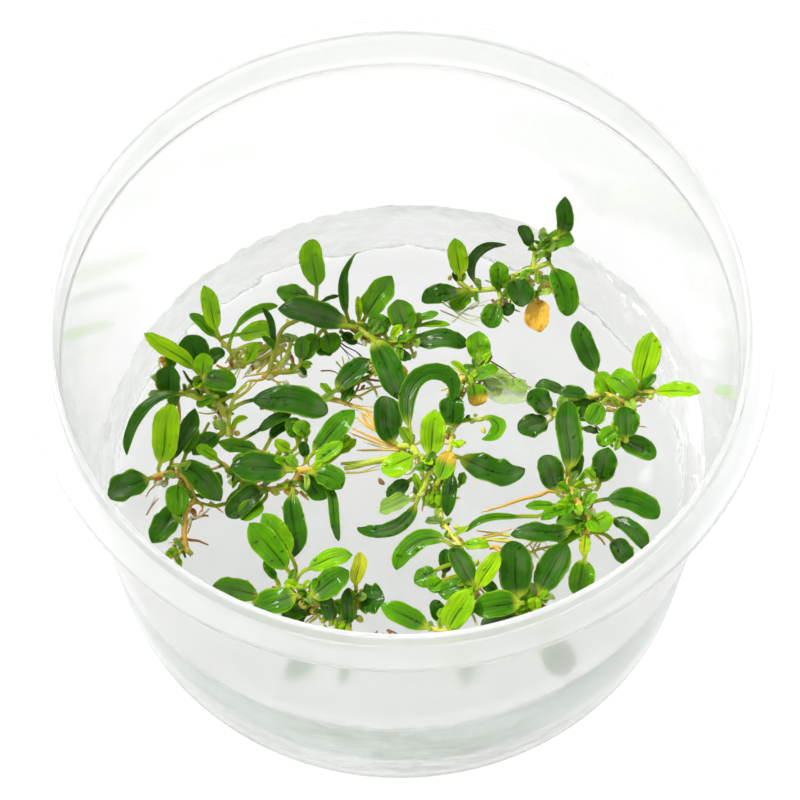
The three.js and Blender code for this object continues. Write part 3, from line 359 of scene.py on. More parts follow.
# %% The plantlet at the back left
plantlet("back_left", "olive", stems="""
    0.9 | -19.3 13.9 0.8 | -18.6 16.8 2 | -17.2 20.4 3 | -14.7 21.8 3.4 | -12.5 24.6 3.6
    0.7 | -19.3 13.9 0.8 | -16 14 0.9 | -14.5 15.1 1.4
    0.8 | -24.1 15.9 1 | -25.2 17.4 2 | -26.7 19.4
    0.8 | -18.6 16.8 2 | -20.9 16.1 0.9 | -24.1 15.9 1
""", leaves="""
    spoon 3.4 | -12.5 24.9 3.5 | -13 32.7 8.5 | 15 0.1 0.75 | stalk 0.22
    side 3.4 | -13 25.4 3.2 | -18.3 25.8 5 | 20 0.1 0.5 | roll 10
    low 2.1 | -14.6 15.2 1.5 | -14.3 18.3 4 | 10 0.3 0.5
    low_right 2.7 | -14.1 17.6 2.5 | -9.7 17.5 0.7 | 20 0.2 0.45
    needle 0.7 | -11.8 24.4 3 | -9 25.8 3 | 70 0.1 0.3 | sweep -20
    dark 1 | -18.5 17.2 2 | -20.2 21.8 6.7 | 40 0.3 0.2 | sweep 35
    hook 0.7 | -14.8 14.5 1.5 | -13.9 13.2 0.9 | 40 0.1 0.3 | sweep -40
    arch 1.3 | -25.2 17.4 2 | -18 22.8 5.5 | 60 0.3 0.65 | sweep -80 stalk 0.35
    light 2.5 | -26.7 19.2 2.7 | -29 26 7 | 15 0.15 0.85 | stalk 0.15
    small 1.7 | -26.7 19.4 2 | -31.2 23.1 3.5 | 10 0.3 0.6
    fold 3.1 | -25 20.6 1 | -18.4 19.9 3 | 15 0.35 0.8 | stalk 0.2
    sheath 1.8 | -22.9 15.3 1 | -20.8 17.9 3 | 20 0.5 0.85
""", roots="""
    yellow 0.45 | -18.9 19 0.4 | -20.4 18.2 | -22.1 17 | -24 15.7
    yellow 0.45 | -19.2 18.2 0.9 | -20.9 16.8 | -22.9 16
    yellow 0.4 | -19.5 19.4 0.3 | -21.4 18.5 | -23.5 18.4
    yellow 0.4 | -18.7 18.8 0.2 | -19.7 17 | -20.9 15.5 | -22 14.5
    yellow 0.4 | -20.4 19.2 0.8 | -22 19.2 | -23.6 18.6 | -24.6 17.7
    orange 0.5 | -27.1 15.8 0.3 | -26.2 15.3 | -25.2 15.3 | -24.3 16.1
    orange 0.9 | -20.2 13.3 0.4 | -19.4 14.1 | -18.6 15
    lime 0.7 | -17.2 18.2 0.8 | -20.3 16.5 | -23.5 15.4 0.6 | -25.6 14.7 0.4
    lime 0.6 | -17.5 19.5 1 | -20.3 17.5 | -23 16.1 0.8 | -24.4 13.9 0.5
    yellow 0.6 | -17 16.5 0.6 | -19.4 14.3 | -22.3 13.7 0.4
    lime 0.8 | -16 19.2 1.4 | -16.7 16.7 1.2 | -17.9 14.7 0.8
    lime 0.6 | -13.2 15 0.6 | -15.2 14 | -17.3 13.7
    lime 1 | -16.4 19.7 1.2 | -19.1 18.5 | -21.8 17.4 | -23.5 16 0.8
    pale 0.8 | -16.8 18.7 1 | -19.4 17.2 0.8 | -21.5 15.6 0.6 | -22.3 14 0.5
    yellow 0.9 | -17.4 17.8 0.8 | -19.7 15.9 0.6 | -21.1 14.3 0.4
    lime 0.8 | -20.3 18.3 1.4 | -22.7 18.3 1.6 | -24.5 17.5 1.2 | -25.3 16 0.8
    pale 0.6 | -16.2 17.4 0.8 | -17 15.5 0.6 | -19.1 13.5 0.5
    yellow 0.7 | -23 17.9 1 | -24.7 15.6 0.8 | -26.2 13.8 0.5
""")

# %% [markdown]
# ### The plantlet at the left
#
# Its longest leaf arches over to the right on a bare stalk, so the sweep comes early in the leaf and then
# lets go: that is what an ease under one does.

# %% The plantlet at the left
plantlet("left", "olive", stems="""
    1.2 | -24.6 3.2 0.8 | -25.1 5 1.6 | -25.8 6.7 2.6 | -27.6 9 3.2 | -29 11.9 3.4 | -29.5 14.1 2
    0.7 | -28.1 10.1 2.8 | -31.3 10.5 1.6 | -34 9.8 1.8 | -33.8 14.3 1
""", leaves="""
    bright 2.5 | -29.5 12.9 2.8 | -37.5 17.9 7 | 25 0.15 0.9 | stalk 0.1
    dark 4.5 | -29.4 14.6 1.3 | -31.3 18.9 4.3 | 25 0.1 0.25 | stalk 0.05
    shade 2.2 | -28.9 14.8 2.5 | -25.8 16.4 3.5 | 30 0.2 0.3
    round 2.7 | -28.9 11.9 3.6 | -28.6 15.1 5.3 | 10 0.1 0.8 | stalk 0.1
    disc 3.5 | -28.9 11.2 4.5 | -23.9 9.4 5 | 50 0.1 0.45 | sweep -20 stalk 0.05
    cupped 3.6 | -34.1 9.6 2.3 | -33.3 12.9 5.7 | 30 0.6 0.3 | stalk 0.05
    amber 1.1 | -33.9 14.5 1 | -35.4 16.6 2 | 10 0.2 0.5 | age 1
    edge 1.1 | -29 9 2 | -31.7 12.4 5 | 10 0.2 0.15 | roll 60
    bud 1.1 | -33.6 9.8 1.5 | -32.7 10.3 2.5 | 10 0.2 0.95 | age 0.3
    long 2 | -29.5 7.4 5 | -39.6 0.3 1 | 10 0.3 0.35 | sweep 120 roll 15 stalk 0.2
    small 1.7 | -26.5 8 4.5 | -29.6 7.2 3.5 | 20 0.2 0.6
    big 4.2 | -24.6 6.4 3 | -10.4 4.6 4.5 | 50 0.15 0.25 | sweep -85 ease 0.45 stalk 0.25
    thin 1.8 | -22.7 2.5 1 | -15.7 4.9 4 | 30 0.4 0.3 | stalk 0.35
    tuck 2.6 | -24.5 9.6 2 | -28.4 8.4 1 | 40 0.2 0.6
    under 2.8 | -25.8 3.7 1.2 | -30 -0.2 1.5 | 20 0.2 0.4
""", roots="""
    rust 1.1 | -26.9 8.4 0.5 | -26.4 7.4 | -25.9 6.2
    olive 0.6 | -27.9 5.8 0.4 | -28.5 4.3 | -28.7 2.4
    lime 0.9 | -25 3 1 | -24.8 6.5 2.2 | -23.8 8.8 3.6 | -22.3 9.5 5
    yellow 0.7 | -24.5 9.3 1 | -22.7 10.7 0.8 | -21.7 12.9 0.6
    lime 0.7 | -28.3 10.2 2 | -26.8 8.4 | -25.8 5.9 1.5
    amber 0.6 | -27.2 10.1 1 | -25.9 7.6 | -25 4.6 0.8
""")

# %% [markdown]
# ### The plantlet at the left front
#
# Its stem has lost its old leaves: it runs on as a bare orange root that turns back under itself.

# %% The plantlet at the left front
plantlet("left_front", "orange", stems="""
    1 | -35.7 -4 1.8 | -33.7 -3.4 1.9 | -31.4 -3.7 2.2 | -30.1 -5.7 1.5 | -29.5 -7.4 1
    0.8 | -29.5 -7.4 1 | -30.4 -8.4 0.8 | -30.7 -12.2 | -30.7 -15.2 0.7 | -33.5 -16.9 0.6
""", leaves="""
    bright 3.8 | -34.8 -2.5 2 | -32.8 5.8 6.5 | 20 0.2 0.85 | stalk 0.08
    dark 2.7 | -33 -1.8 1.6 | -29.6 5.7 5.2 | 15 0.35 0.2 | stalk 0.1
    small 1.7 | -31.2 -0.4 1 | -29.3 3.7 3 | 10 0.2 0.6
    far 4.1 | -35.7 -4.1 2 | -41.9 -7.2 2 | 45 0.15 0.3 | stalk 0.08
    right 3.6 | -32.5 -2.6 3 | -25.6 -8.4 2.2 | 35 0.15 0.35 | sweep -45 stalk 0.1
    low 3.2 | -31.6 -4.9 2 | -31.8 -10.6 2 | 35 0.15 0.6 | stalk 0.1
    under 3.5 | -31.5 -8 0.8 | -35.3 -14.3 0.9 | 12 0.15 0.4 | stalk 0.05
    wet 2 | -25.4 -8.2 0.8 | -21.5 -6.4 0.9 | 10 0.2 0.45
    inner 3 | -29.3 -4 1.5 | -25.5 -5.2 1 | 20 0.2 0.55
""", roots="""
    orange 0.9 | -30.5 -8.2 0.3 | -30.8 -10.3 | -30.9 -12.4 | -30.8 -15 | -32.3 -16.1 | -33.7 -16.7
    orange 0.5 | -30.9 -12.8 0.3 | -31.7 -13.9 | -32.5 -14.5
    pink 0.35 | -36.3 -9.4 0.5 | -35.7 -8.1 | -34.7 -6.7
    orange 0.8 | -27.3 -7.6 0.3 | -26.7 -8 | -26.2 -8.2
    orange 0.5 | -29.1 -9.7 0.5 | -30 -9 | -29.9 -8 | -29 -7.7 | -28.3 -8.5 | -28.8 -9.5
    amber 0.6 | -30.8 -2.3 0.8 | -29.9 -4 | -30.7 -5.9 0.6
    pale 0.5 | -31.6 -5.8 0.5 | -31.2 -7.9 0.4 | -31.8 -9.7 | -30.9 -8.5 0.6
""")

# %% [markdown]
# ### The plantlet left of the middle
#
# Leaves go out to every side from one crowded crown. One narrow leaf hangs over the front and curls.

# %% The plantlet left of the middle
plantlet("centre_left", "orange", stems="""
    1.1 | -19.8 -0.5 2 | -17.3 -2.6 3 | -14.3 -4.5 4 | -12.5 -4.4 3.6
    1 | -14.3 -4.5 4 | -15.6 -6.1 2.6 | -18.8 -6.3 1.6 | -22.2 -4.9 1 | -25.5 -2.1 2
""", leaves="""
    lime 1.7 | -26 -2 2.5 | -29.3 0.2 3.5 | 20 0.2 0.78
    back 2.2 | -19.8 -0.7 2.5 | -26.2 0.5 4 | 20 0.15 0.5
    broad 4.6 | -15.2 -4.8 4.5 | -24.2 -4.8 6 | 20 0.1 0.3 | stalk 0.08
    olive 1.7 | -19 1.5 1.5 | -15.1 4.7 2.4 | 20 0.3 0.3 | sweep -40
    curl 2.1 | -13.6 1.5 2 | -15.3 3.2 4 | 60 0.3 0.7 | sweep 40
    bud 1.7 | -15.7 -1 3 | -17.7 0 4.5 | 10 0.3 0.88
    tiny 1.5 | -13.6 -1.4 1.4 | -14 0.8 3 | 10 0.2 0.2
    right 3.4 | -13 -1.9 3 | -6.5 4.1 6 | 20 0.15 0.45 | stalk 0.08
    light 2.1 | -12.5 -4.1 4 | -8.1 -0.9 5.5 | 15 0.3 0.75
    yellow 1.5 | -9 -0.9 1.5 | -6.3 1.2 2.5 | 10 0.3 0.88
    roll 3.4 | -12.6 -5.5 4.8 | -8.3 -8.1 4.4 | 50 0.3 0.4 | sweep -60
    tail 1.4 | -11.8 -5.5 3.5 | -8.7 -14.7 0.8 | 60 0.2 0.4 | sweep -50 ease 0.7 stalk 0.05
    dark 2.7 | -14.8 -5.4 2.5 | -10.5 -8.1 1.5 | 30 0.2 0.35 | sweep -20 stalk 0.05
    down 2.9 | -15.2 -7.1 3 | -15 -17.1 0.7 | 30 0.35 0.35 | stalk 0.1
    far 3.4 | -18.8 -6.5 2 | -24.8 -10.2 1 | 25 0.2 0.3 | stalk 0.1
    frill 3 | -19.4 -8 1.5 | -22.7 -10.8 0.8 | 20 0.4 0.65
    frill_left 2.6 | -19.7 -6.4 1.5 | -23.4 -6.3 1 | 20 0.2 0.6 | pale 0.15
    fresh 2 | -10 -1.1 2 | -7.1 1.3 3 | 20 0.2 0.85
    back_leaf 2.4 | -14.8 1.6 2 | -16.1 4.2 4 | 20 0.2 0.55
    back_fold 3 | -14.4 1.9 2 | -14.1 4.1 3.5 | 20 0.2 0.75
    tufted 2.4 | -17.5 -0.4 2 | -16.6 0.8 3.5 | 20 0.2 0.9
""", roots="""
    rust 0.8 | -20.5 8 0.6 | -19.2 8.1 | -18.2 7.9 | -17.3 7.7
    yellow 0.9 | -16 -4.5 0.8 | -16.9 -5.4 | -17.7 -6.1
    orange 0.7 | -14.3 -6.3 0.5 | -13.7 -7 | -13.1 -7.7
    orange 0.8 | -18.9 -6 0.8 | -16.9 -5.4 | -15.1 -5.2 1
    amber 0.6 | -13.4 -6.9 0.8 | -11.7 -7.6 0.6 | -14.3 -5.6 1
""")

# %% [markdown]
# ### The plantlet at the front left
#
# It stands close to the wall and leans on it, with broad blunt leaves that overlap like tiles.

# %% The plantlet at the front left
plantlet("front_left", "olive", stems="""
    1.1 | -19.2 -23.6 1.4 | -16.7 -23.4 2.4 | -14.8 -22.8 3.6 | -13.4 -24 3.4 | -11.1 -25.4 2
    0.8 | -11.1 -25.4 2 | -8.8 -27.4 1.1 | -7 -27.7 0.9 | -6.6 -24.9 1.3 | -6.1 -23.2 2
""", leaves="""
    big 3.8 | -15 -21.6 3.5 | -21.1 -14.5 7 | 15 0.3 0.55 | stalk 0.15
    back 3.2 | -15.1 -17.9 1.5 | -19.4 -11.7 4.5 | 15 0.1 0.7
    slim 1.3 | -17.2 -21.1 1 | -19.2 -18.7 3 | 10 0.2 0.6
    left 3.4 | -19.2 -23.7 1.5 | -26.3 -22.2 2.5 | 25 0.15 0.5
    front 3.9 | -14.1 -24.9 4.5 | -20.3 -26.9 3.5 | 35 0.1 0.45 | stalk 0.05
    under 3.1 | -12.9 -25.3 1.5 | -16.1 -27.7 0.8 | 15 0.15 0.2
    light 2.8 | -13.5 -20.7 3.5 | -6.6 -19.1 5 | 20 0.15 0.75 | sweep -25
    right 3.8 | -12.6 -25.2 4 | -7.1 -21.8 5.5 | 25 0.15 0.45 | stalk 0.05
    folded 2 | -6.1 -23.4 2.7 | -5.5 -19 5.7 | 10 0.45 0.9 | age 0.45
    round 4.3 | -6 -24.8 1.6 | -2.1 -25 2.6 | 20 0.15 0.15 | stalk 0.05
    bow 1 | -14.1 -24.7 3.3 | -11.5 -24.5 2.8 | 80 0.3 0.85
    wet 1.7 | -7.3 -29.3 1.4 | -7.3 -23.8 4 | 10 0.3 0.15
    olive 2 | -9.7 -28.1 1 | -10.2 -24.6 3 | 10 0.2 0.3
    pale 1.4 | -9 -29.3 0.8 | -6.7 -28.1 0.8 | 20 0.2 0.85
    base 3.4 | -11.4 -24.1 1 | -16.4 -26.8 1 | 20 0.2 0.45
    base_right 2.6 | -9.7 -24.2 1 | -6.6 -26.7 1.5 | 20 0.2 0.7
    wall 3 | -10.8 -32.4 2 | -15.6 -35.4 0.8 | 20 0.2 0.25
    wall_right 1.6 | -6.8 -33 2 | -7.8 -36.2 1 | 20 0.2 0.3
""", roots="""
    brown 1.1 | -12.5 -25.7 0.5 | -11.7 -25.8 | -10.8 -26.1
    amber 0.6 | -9.7 -24.9 0.5 | -10.8 -26.7 0.4
""")

# %% [markdown]
# ### The plantlet at the back
#
# A twisted leaf stands up behind the others: the twist turns the blade about its own midrib.

# %% The plantlet at the back
plantlet("back", "olive", stems="""
    1 | -8.2 20.7 2.2 | -6.4 19.9 3.4 | -4.5 17.5 4.6 | -2.3 17.5 3 | -0.2 17.3 2.4 | 1.4 17 2.2
      | 2.2 20.4 2
    0.7 | -2.3 17.5 3 | -3.7 13.5 1.4 | -6.5 11.4 1 | -9.6 10.2 1.2
""", leaves="""
    big 4.1 | -6.8 19.3 4.5 | -18 22 6 | 25 0.2 0.22 | stalk 0.08
    twist 1.9 | -7.6 21.4 2.5 | -6.3 30.4 8 | 80 0.3 0.35 | sweep -90 ease 2.2 roll 30 twist 40
    upright 3.8 | -5.5 21.2 2.6 | -1.2 26.9 6.5 | 15 0.2 0.55
    slim 1 | -6 20.8 3 | -6.2 23.8 6 | 10 0.3 0.88
    front 3.9 | -4 16.3 6 | -0.1 7.1 3.3 | 45 0.15 0.3 | stalk 0.05
    wet 3.1 | 0.8 17.6 3 | 9.9 16.7 2.5 | 20 0.15 0.2 | sweep -20 stalk 0.08
    low 1.7 | -8.8 20.3 1.5 | -6.4 18.4 1 | 20 0.2 0.3
    soft 2.8 | -2 18.1 3 | -4.2 21 5 | 20 0.15 0.5
    wide 3.8 | 0.7 18.3 3.4 | -0.4 23 6 | 20 0.1 0.45 | stalk 0.1
    small 1.3 | 2.3 21 2.9 | 5.7 21.4 4.2 | 20 0.2 0.6
    light 1.1 | 2.6 20.6 2 | 7.4 20 3 | 30 0.2 0.75
    knob 1.8 | 1.8 15.2 2 | -0.5 14.7 3 | 50 0.3 0.1
    left 3.1 | -9.5 9.7 2 | -4.4 13.9 4 | 15 0.2 0.25 | stalk 0.05
    curl 1.1 | -9.6 10.1 1 | -11.6 11.5 1.5 | 30 0.2 0.8 | sweep -70
    lobe 3.2 | -11.7 19.8 2.5 | -14.6 15.7 1.5 | 30 0.2 0.5
    lobe_right 3 | -11.1 19.9 2.5 | -9.8 16.6 1.5 | 30 0.2 0.5
    bract 2.6 | -5.5 20.5 1.5 | -1.1 21.4 2 | 20 0.2 0.6
    light_low 2 | -7 22 1.5 | -4.1 19 1 | 20 0.2 0.8
""", roots="""
    rust 0.7 | -7.6 21.1 1.5 | -6.7 20.2 | -5.8 19.3 | -5.1 18.7
    dark 0.3 | -9.5 19.9 0.4 | -8.1 18.4 | -6.4 17.3 | -5.4 15.7
    dark 0.3 | -8.8 20.1 0.6 | -7.3 19.2 | -5.5 18.4
    yellow 0.45 | -11.6 9.8 0.4 | -10.2 9.6 | -8.2 8.9 | -6.2 7.8 | -4.3 7
    yellow 0.4 | -8.3 9.9 0.4 | -6.4 10.5 | -4.6 11 | -3.1 11.3
    orange 0.7 | -1.5 18.2 1.2 | -0.9 17.5
    orange 0.7 | 0.4 14 1.2 | 1.1 13.1
    amber 0.7 | -1.1 13.3 1 | 0.1 14.2 1.2 | 1 12.3 0.8
    yellow 0.5 | -8.7 9.4 0.4 | -6.1 9.6 | -3.4 11 0.5 | -1.1 11.5
    amber 0.6 | -11.9 9.4 0.5 | -9.4 8.8 | -6.9 7.9 | -4 6.8 0.4
    pale 0.4 | -7.9 8.3 0.4 | -5.7 6.9 | -4 5.5
    dark 0.25 | -9.7 19.5 0.4 | -7.9 17.4 | -6.4 16 0.3
    brown 0.3 | -11.7 14.2 0.4 | -9.9 14.1 | -8.7 13.3 0.3
    olive 0.35 | -9.4 15.7 0.4 | -8.2 14.2 | -8.5 16.4 0.8
""")

# %% [markdown]
# ### The plantlet in the middle
#
# One leaf turns through more than half a circle and hangs its tip in front of itself.

# %% The plantlet in the middle
plantlet("centre", "lime", stems="""
    1.2 | -0.1 0.1 1.9 | 1.7 -0.7 3 | 2.9 -3.4 4.2 | 4.3 -4.4 4.4 | 3.9 -6.6 3.6 | 2.8 -8.3 2
    0.8 | 4.3 -4.4 4.4 | 6.4 -3.4 3 | 7.4 0.8 2 | 7.3 2.9 1.8 | 9.2 4.3 1.4 | 11.7 4.4
""", leaves="""
    dark 4 | -0.1 0.3 1.6 | -2.2 7.5 4 | 10 0.25 0.15 | sweep -60 ease 0.6
    arch 2.6 | 1.7 0.2 4 | 7.3 6.4 4 | 20 0.25 0.3 | sweep -240 ease 2.2 stalk 0.1
    bright 3.4 | 4.2 -4.3 5.5 | 5 1.6 10 | 15 0.15 0.9 | stalk 0.08
    ribbed 3.5 | 7.2 2.5 2 | 8.2 7.1 4 | 20 0.2 0.3
    orange 2.7 | 5.3 -7.9 5 | 7.2 -3.7 7 | 15 0.2 0.7 | age -0.8
    down 2.1 | 7.5 -4.6 3.4 | 6.7 -11.7 1.7 | 30 0.3 0.3
    lime 3.5 | 2.4 -3.3 5 | -2.6 -5.4 4.5 | 20 0.1 0.85
    low 2.4 | 1.7 -5.8 2.5 | -1.8 -8.2 1 | 30 0.3 0.3
    curl 2.2 | 2.6 -8.7 2 | -5.9 -12.6 1 | 40 0.3 0.22 | sweep -150 ease 2.2 stalk 0.08
    long 4 | 8.2 -2.6 3 | 17.8 -4.5 2.5 | 10 0.2 0.2 | sweep 75 ease 3 stalk 0.05
    seed 1.3 | 8.5 -6.2 1 | 9.2 -4.9 2.5 | 10 0.2 0.6
    pale 1.5 | 4.9 -7.5 3 | 4.9 -9.9 1 | 20 0.3 0.88
    ring 2.1 | 11.7 4.3 1.5 | 11.8 1.1 1.5 | 15 0.3 0.6 | sweep -235 stalk 0.05
    rag 2.4 | 2.1 -8.7 1.5 | -2.9 -10.1 0.6 | 40 0.5 0.7 | pale 0.4
    wet 2.6 | 4.5 -6.8 2 | 5.3 -10 1 | 20 0.6 0.9 | pale 0.35
    wet_left 1.8 | 5.5 -6.5 2 | 3.5 -9.5 1 | 20 0.6 0.9 | pale 0.2
    wet_low 1.8 | 3.8 -5.5 1.5 | 2.4 -7.7 0.8 | 20 0.5 0.75 | pale 0.3
    shoot 2 | 6 -1.9 2.5 | 5.8 -6.5 2 | 20 0.4 0.8
""", roots="""
    orange 0.6 | 0.1 0.1 0.7 | -2.1 1.8 | -3.5 3.6 | -5 4.8 | -5.7 6.5
    orange 0.5 | 0.1 -0.2 0.5 | -2.1 0.8 | -4.5 2 | -6.9 3.1
    olive 0.9 | -2.7 -1.5 0.6 | -4.5 -1.9 | -6.2 -2.5 | -8 -2.8
    yellow 0.4 | -8 -3.3 0.4 | -5.7 -3.3 | -2.9 -2.8
    pale 0.4 | 2.2 -6.7 0.5 | 0.4 -8.1 | -1.3 -9.2 | -3.3 -9.8
    brown 1 | -2.8 -5.1 0.8 | -2.3 -5.6
    orange 1 | 0.8 0.1 0.9 | -1.4 1.6 0.8 | -3.4 4.1 0.7 | -4.9 6.6 0.6
    orange 0.6 | -0.2 0.2 0.8 | -2.8 1.7 0.7 | -5.1 3 0.6 | -6.9 4.1 0.5
    amber 0.5 | -0.1 0 0.8 | -2.8 0.3 0.5 | -5.7 0.3 0.4
    amber 0.45 | -1.1 1.2 0.8 | -3.1 3.1 0.6 | -5.1 4.6 0.5 | -6.3 6 0.4
    pale 0.4 | -0.8 0.3 0.7 | -3.4 1 0.5 | -5.4 1.9 0.4
    lime 1.3 | -1.6 -1.6 1.2 | -4.8 -2.1 1 | -7.8 -2.9 0.8
    lime 0.9 | 4.4 -8.8 1.5 | 3.5 -6.7 2 | 3.2 -4.6 3
    orange 0.6 | 3.5 -8.6 1.2 | 3.1 -6.9 1.8 | 3.4 -5.1 2.6
""")

# %% [markdown]
# ### The small sprig behind the middle
#
# Young growth: eight small leaves. Four of them are so pale that the jelly shows through.

# %% The small sprig behind the middle
plantlet("sprig", "orange", stems="""
    0.9 | 7.8 9.3 0.8 | 9 11.2 1.6 | 10.3 11.9 2 | 11.5 13.1
""", leaves="""
    slim 1 | 9.9 11.9 2 | 7.4 13.5 3 | 10 0.3 0.88 | sweep 20
    upright 3.3 | 11.5 13.3 2 | 11.5 17.6 5 | 15 0.25 0.7
    side 2.1 | 10 11.1 2 | 14.3 11.9 3.5 | 30 0.3 0.6
    amber 2.8 | 10.4 10 3.2 | 11.3 7 1 | 40 0.2 0.6 | age -0.9
    ghost 2.8 | 12 9.3 0.8 | 18.9 8.5 0.8 | 5 0.1 1 | age 0.2 pale 1
    veil 3 | 11.4 13 1 | 16.4 9.9 1 | 20 0.5 0.8 | pale 0.7
    veil_low 2.4 | 12.1 11.5 0.8 | 14.6 8.7 0.8 | 20 0.5 0.85 | pale 0.6
    veil_right 2.2 | 15.4 11.4 0.8 | 18.4 9.2 0.8 | 20 0.5 0.8 | pale 0.5
""", roots="""
    brown 0.3 | 13.3 15 0.4 | 15.2 13.5 | 16.9 11.8 | 19.1 10.1
    brown 0.3 | 12.3 14.2 0.3 | 14.4 12.6 | 16.5 11.7
    olive 0.5 | 7 3 0.5 | 8.1 3.8 | 9.2 4.8 | 10.5 5.1 | 11.6 5.2
    lime 0.4 | 11.5 13.6 0.8 | 14.4 12.2 0.6 | 17.6 10.8 0.5 | 19.3 9.5
""")

# %% [markdown]
# ### The plantlet at the back right
#
# A long stem that climbs off the jelly. One of its leaves is dying and has turned amber.

# %% The plantlet at the back right
plantlet("back_right", "lime", stems="""
    1 | 8.7 28.1 2.4 | 10.5 26.8 1.9 | 12.4 26.4 2.4 | 14.6 26.5 2.9 | 16.5 27.8 3.6 | 19.2 28.3 4.6
      | 22.1 29.3 4.9
    0.9 | 19.8 28.4 4.7 | 20.2 31.2 5.9 | 23.5 32.4 7.2
    0.6 | 19.8 28.4 4.7 | 21 27.1 3 | 20.4 25.4 2
    0.7 | 14.6 26.5 2.9 | 14.9 24.4 1.9
""", leaves="""
    bright 2.8 | 8.9 28.3 3 | 8.1 33 7 | 15 0.25 0.85 | stalk 0.05
    hook 1.5 | 12.2 27.3 1.3 | 15.8 32.3 5.7 | 50 0.25 0.15 | sweep -185 roll 10
    dark 3.1 | 9.6 26.1 3 | 3.2 24.7 2.5 | 20 0.15 0.2
    light 2.8 | 10.5 26.7 1.5 | 7.8 24 1 | 20 0.2 0.65
    tiny 1.1 | 8.9 28.6 1 | 7.8 29.7 2.5 | 10 0.2 0.2
    round 2.8 | 14.6 26.3 3 | 14.4 29.2 6 | 20 0.3 0.6
    shade 3.8 | 16.7 27.4 4.5 | 18.1 22.5 3.4 | 30 0.2 0.2
    fork 3.1 | 14.7 24.1 2.5 | 13.1 20.5 1 | 30 0.2 0.45
    knob 2.2 | 15.1 24.3 1.5 | 16.7 23 0.7 | 20 0.2 0.2
    amber 3.5 | 20.2 25.2 2 | 20.7 19.5 0.8 | 20 0.3 0.5 | age 1
    fall 3.5 | 22.1 29 5 | 24.7 21.5 2 | 55 0.15 0.45 | sweep -30
    horn 2.5 | 23.4 32.4 7.5 | 24.2 36 12.9 | 20 0.2 0.3 | sweep 45 stalk 0.05
    wing 3.1 | 20.5 31.1 6 | 25.8 31.8 6.8 | 40 0.25 0.65 | sweep -25
    keel 2 | 19.8 31.2 6 | 17.6 34.1 8 | 10 0.5 0.3
    moss 2 | 10.5 27.3 1 | 7.8 26 1 | 20 0.2 0.7 | pale 0.3
""", roots="""
    pale 0.3 | 5.8 26.1 0.4 | 7.5 24.6 | 9.7 23.4 | 12 22.6 | 13.4 21.3
    pale 0.3 | 6.9 25.9 0.6 | 8.3 23.7 | 10.5 22.2 | 12.4 22.8
    pale 0.3 | 6 24.3 0.3 | 8.7 22.8 | 11.1 21.5
    pale 0.3 | 7.8 22 0.5 | 9.9 24.1 | 12.6 24.9
    amber 0.7 | 20.9 27.8 2.2 | 21.9 26.7 | 22.8 25.4
    lime 0.5 | 10.8 28.3 0.6 | 9.3 26.7 0.4 | 7.5 26.1 0.3
    pale 0.4 | 10.2 27.3 0.4 | 11.7 25.5 | 10.5 24.2 0.3
""")

# %% [markdown]
# ### The plantlet at the right
#
# Its lowest leaves lie flat in the wet film on the jelly.

# %% The plantlet at the right
plantlet("right", "yellow", stems="""
    1.1 | 27.5 7 2.6 | 29.4 7.4 | 31.4 6.5 2.8 | 33.2 6.2 | 34.7 7.5 | 36.6 7.3 3
    0.8 | 31.4 6.5 2.8 | 31.4 3.3 2.6 | 31 0.9 2.4 | 32.3 -1.1 3.4
    0.8 | 29.4 7.4 2.6 | 26.1 6.7 1.8 | 22 4.4
""", leaves="""
    spur 3.1 | 28.9 9.6 3 | 25.8 17.6 7 | 15 0.2 0.3 | sweep -20 stalk 0.15
    bright 3.6 | 34.7 8.1 3 | 36.4 15.3 7 | 15 0.15 0.85
    bow 3.4 | 29.8 9.6 3 | 34 6.5 4 | 110 0.2 0.7 | sweep -40
    right 2.5 | 36.6 7.3 3.1 | 42.9 4.9 6.5 | 20 0.25 0.85 | stalk 0.05
    slip 1.4 | 34 7 2.5 | 36.9 7.9 2.6 | 30 0.3 0.6
    left 2 | 27.5 6.4 3.4 | 22.8 7.6 3.4 | 30 0.2 0.2
    mid 3.4 | 28.7 7.3 2 | 25.6 3.5 2 | 30 0.2 0.35
    green 2.8 | 29.3 5.6 3.5 | 27.1 2.3 2.9 | 30 0.15 0.6
    strap 1.7 | 24.8 8.5 1.6 | 19.6 9.6 1.8 | 70 0.2 0.25
    shade 3.4 | 22 4.7 2 | 18.7 7.8 3.5 | 15 0.1 0.2
    wet 3.5 | 21.9 4.2 1.3 | 17 2.6 1.1 | 15 0.2 0.12
    grey 3.6 | 32.3 -1.5 4 | 32 3.3 6 | 20 0.1 0.38
    pale 2.5 | 31.6 1.5 3.7 | 28.4 -0.8 2 | 30 0.1 0.65
    tongue 3.2 | 31 0.7 2.5 | 36.5 -2.8 1.5 | 25 0.15 0.4
    slit 1.1 | 26 2.7 1 | 28.6 1.8 1 | 20 0.2 0.2
    cheek 3 | 31.1 6.7 1.5 | 28.7 10.4 4 | 20 0.2 0.8
    step 2.6 | 27.1 7.8 1 | 23.3 8.5 1.2 | 20 0.2 0.4
""", roots="""
    yellow 1 | 29.2 7.4 1.5 | 30.8 6.3 | 32.8 6.3 | 35 7.2
    orange 0.7 | 29.9 6 1 | 31.9 5.2 | 34.2 5.5
    amber 0.6 | 29.1 6.7 1 | 27.1 7.2 0.8 | 25.3 6.4 0.6
""")

# %% [markdown]
# ### The plantlet at the right front
#
# The thickest stem of all. It stands up, and its leaves go round it like spokes.

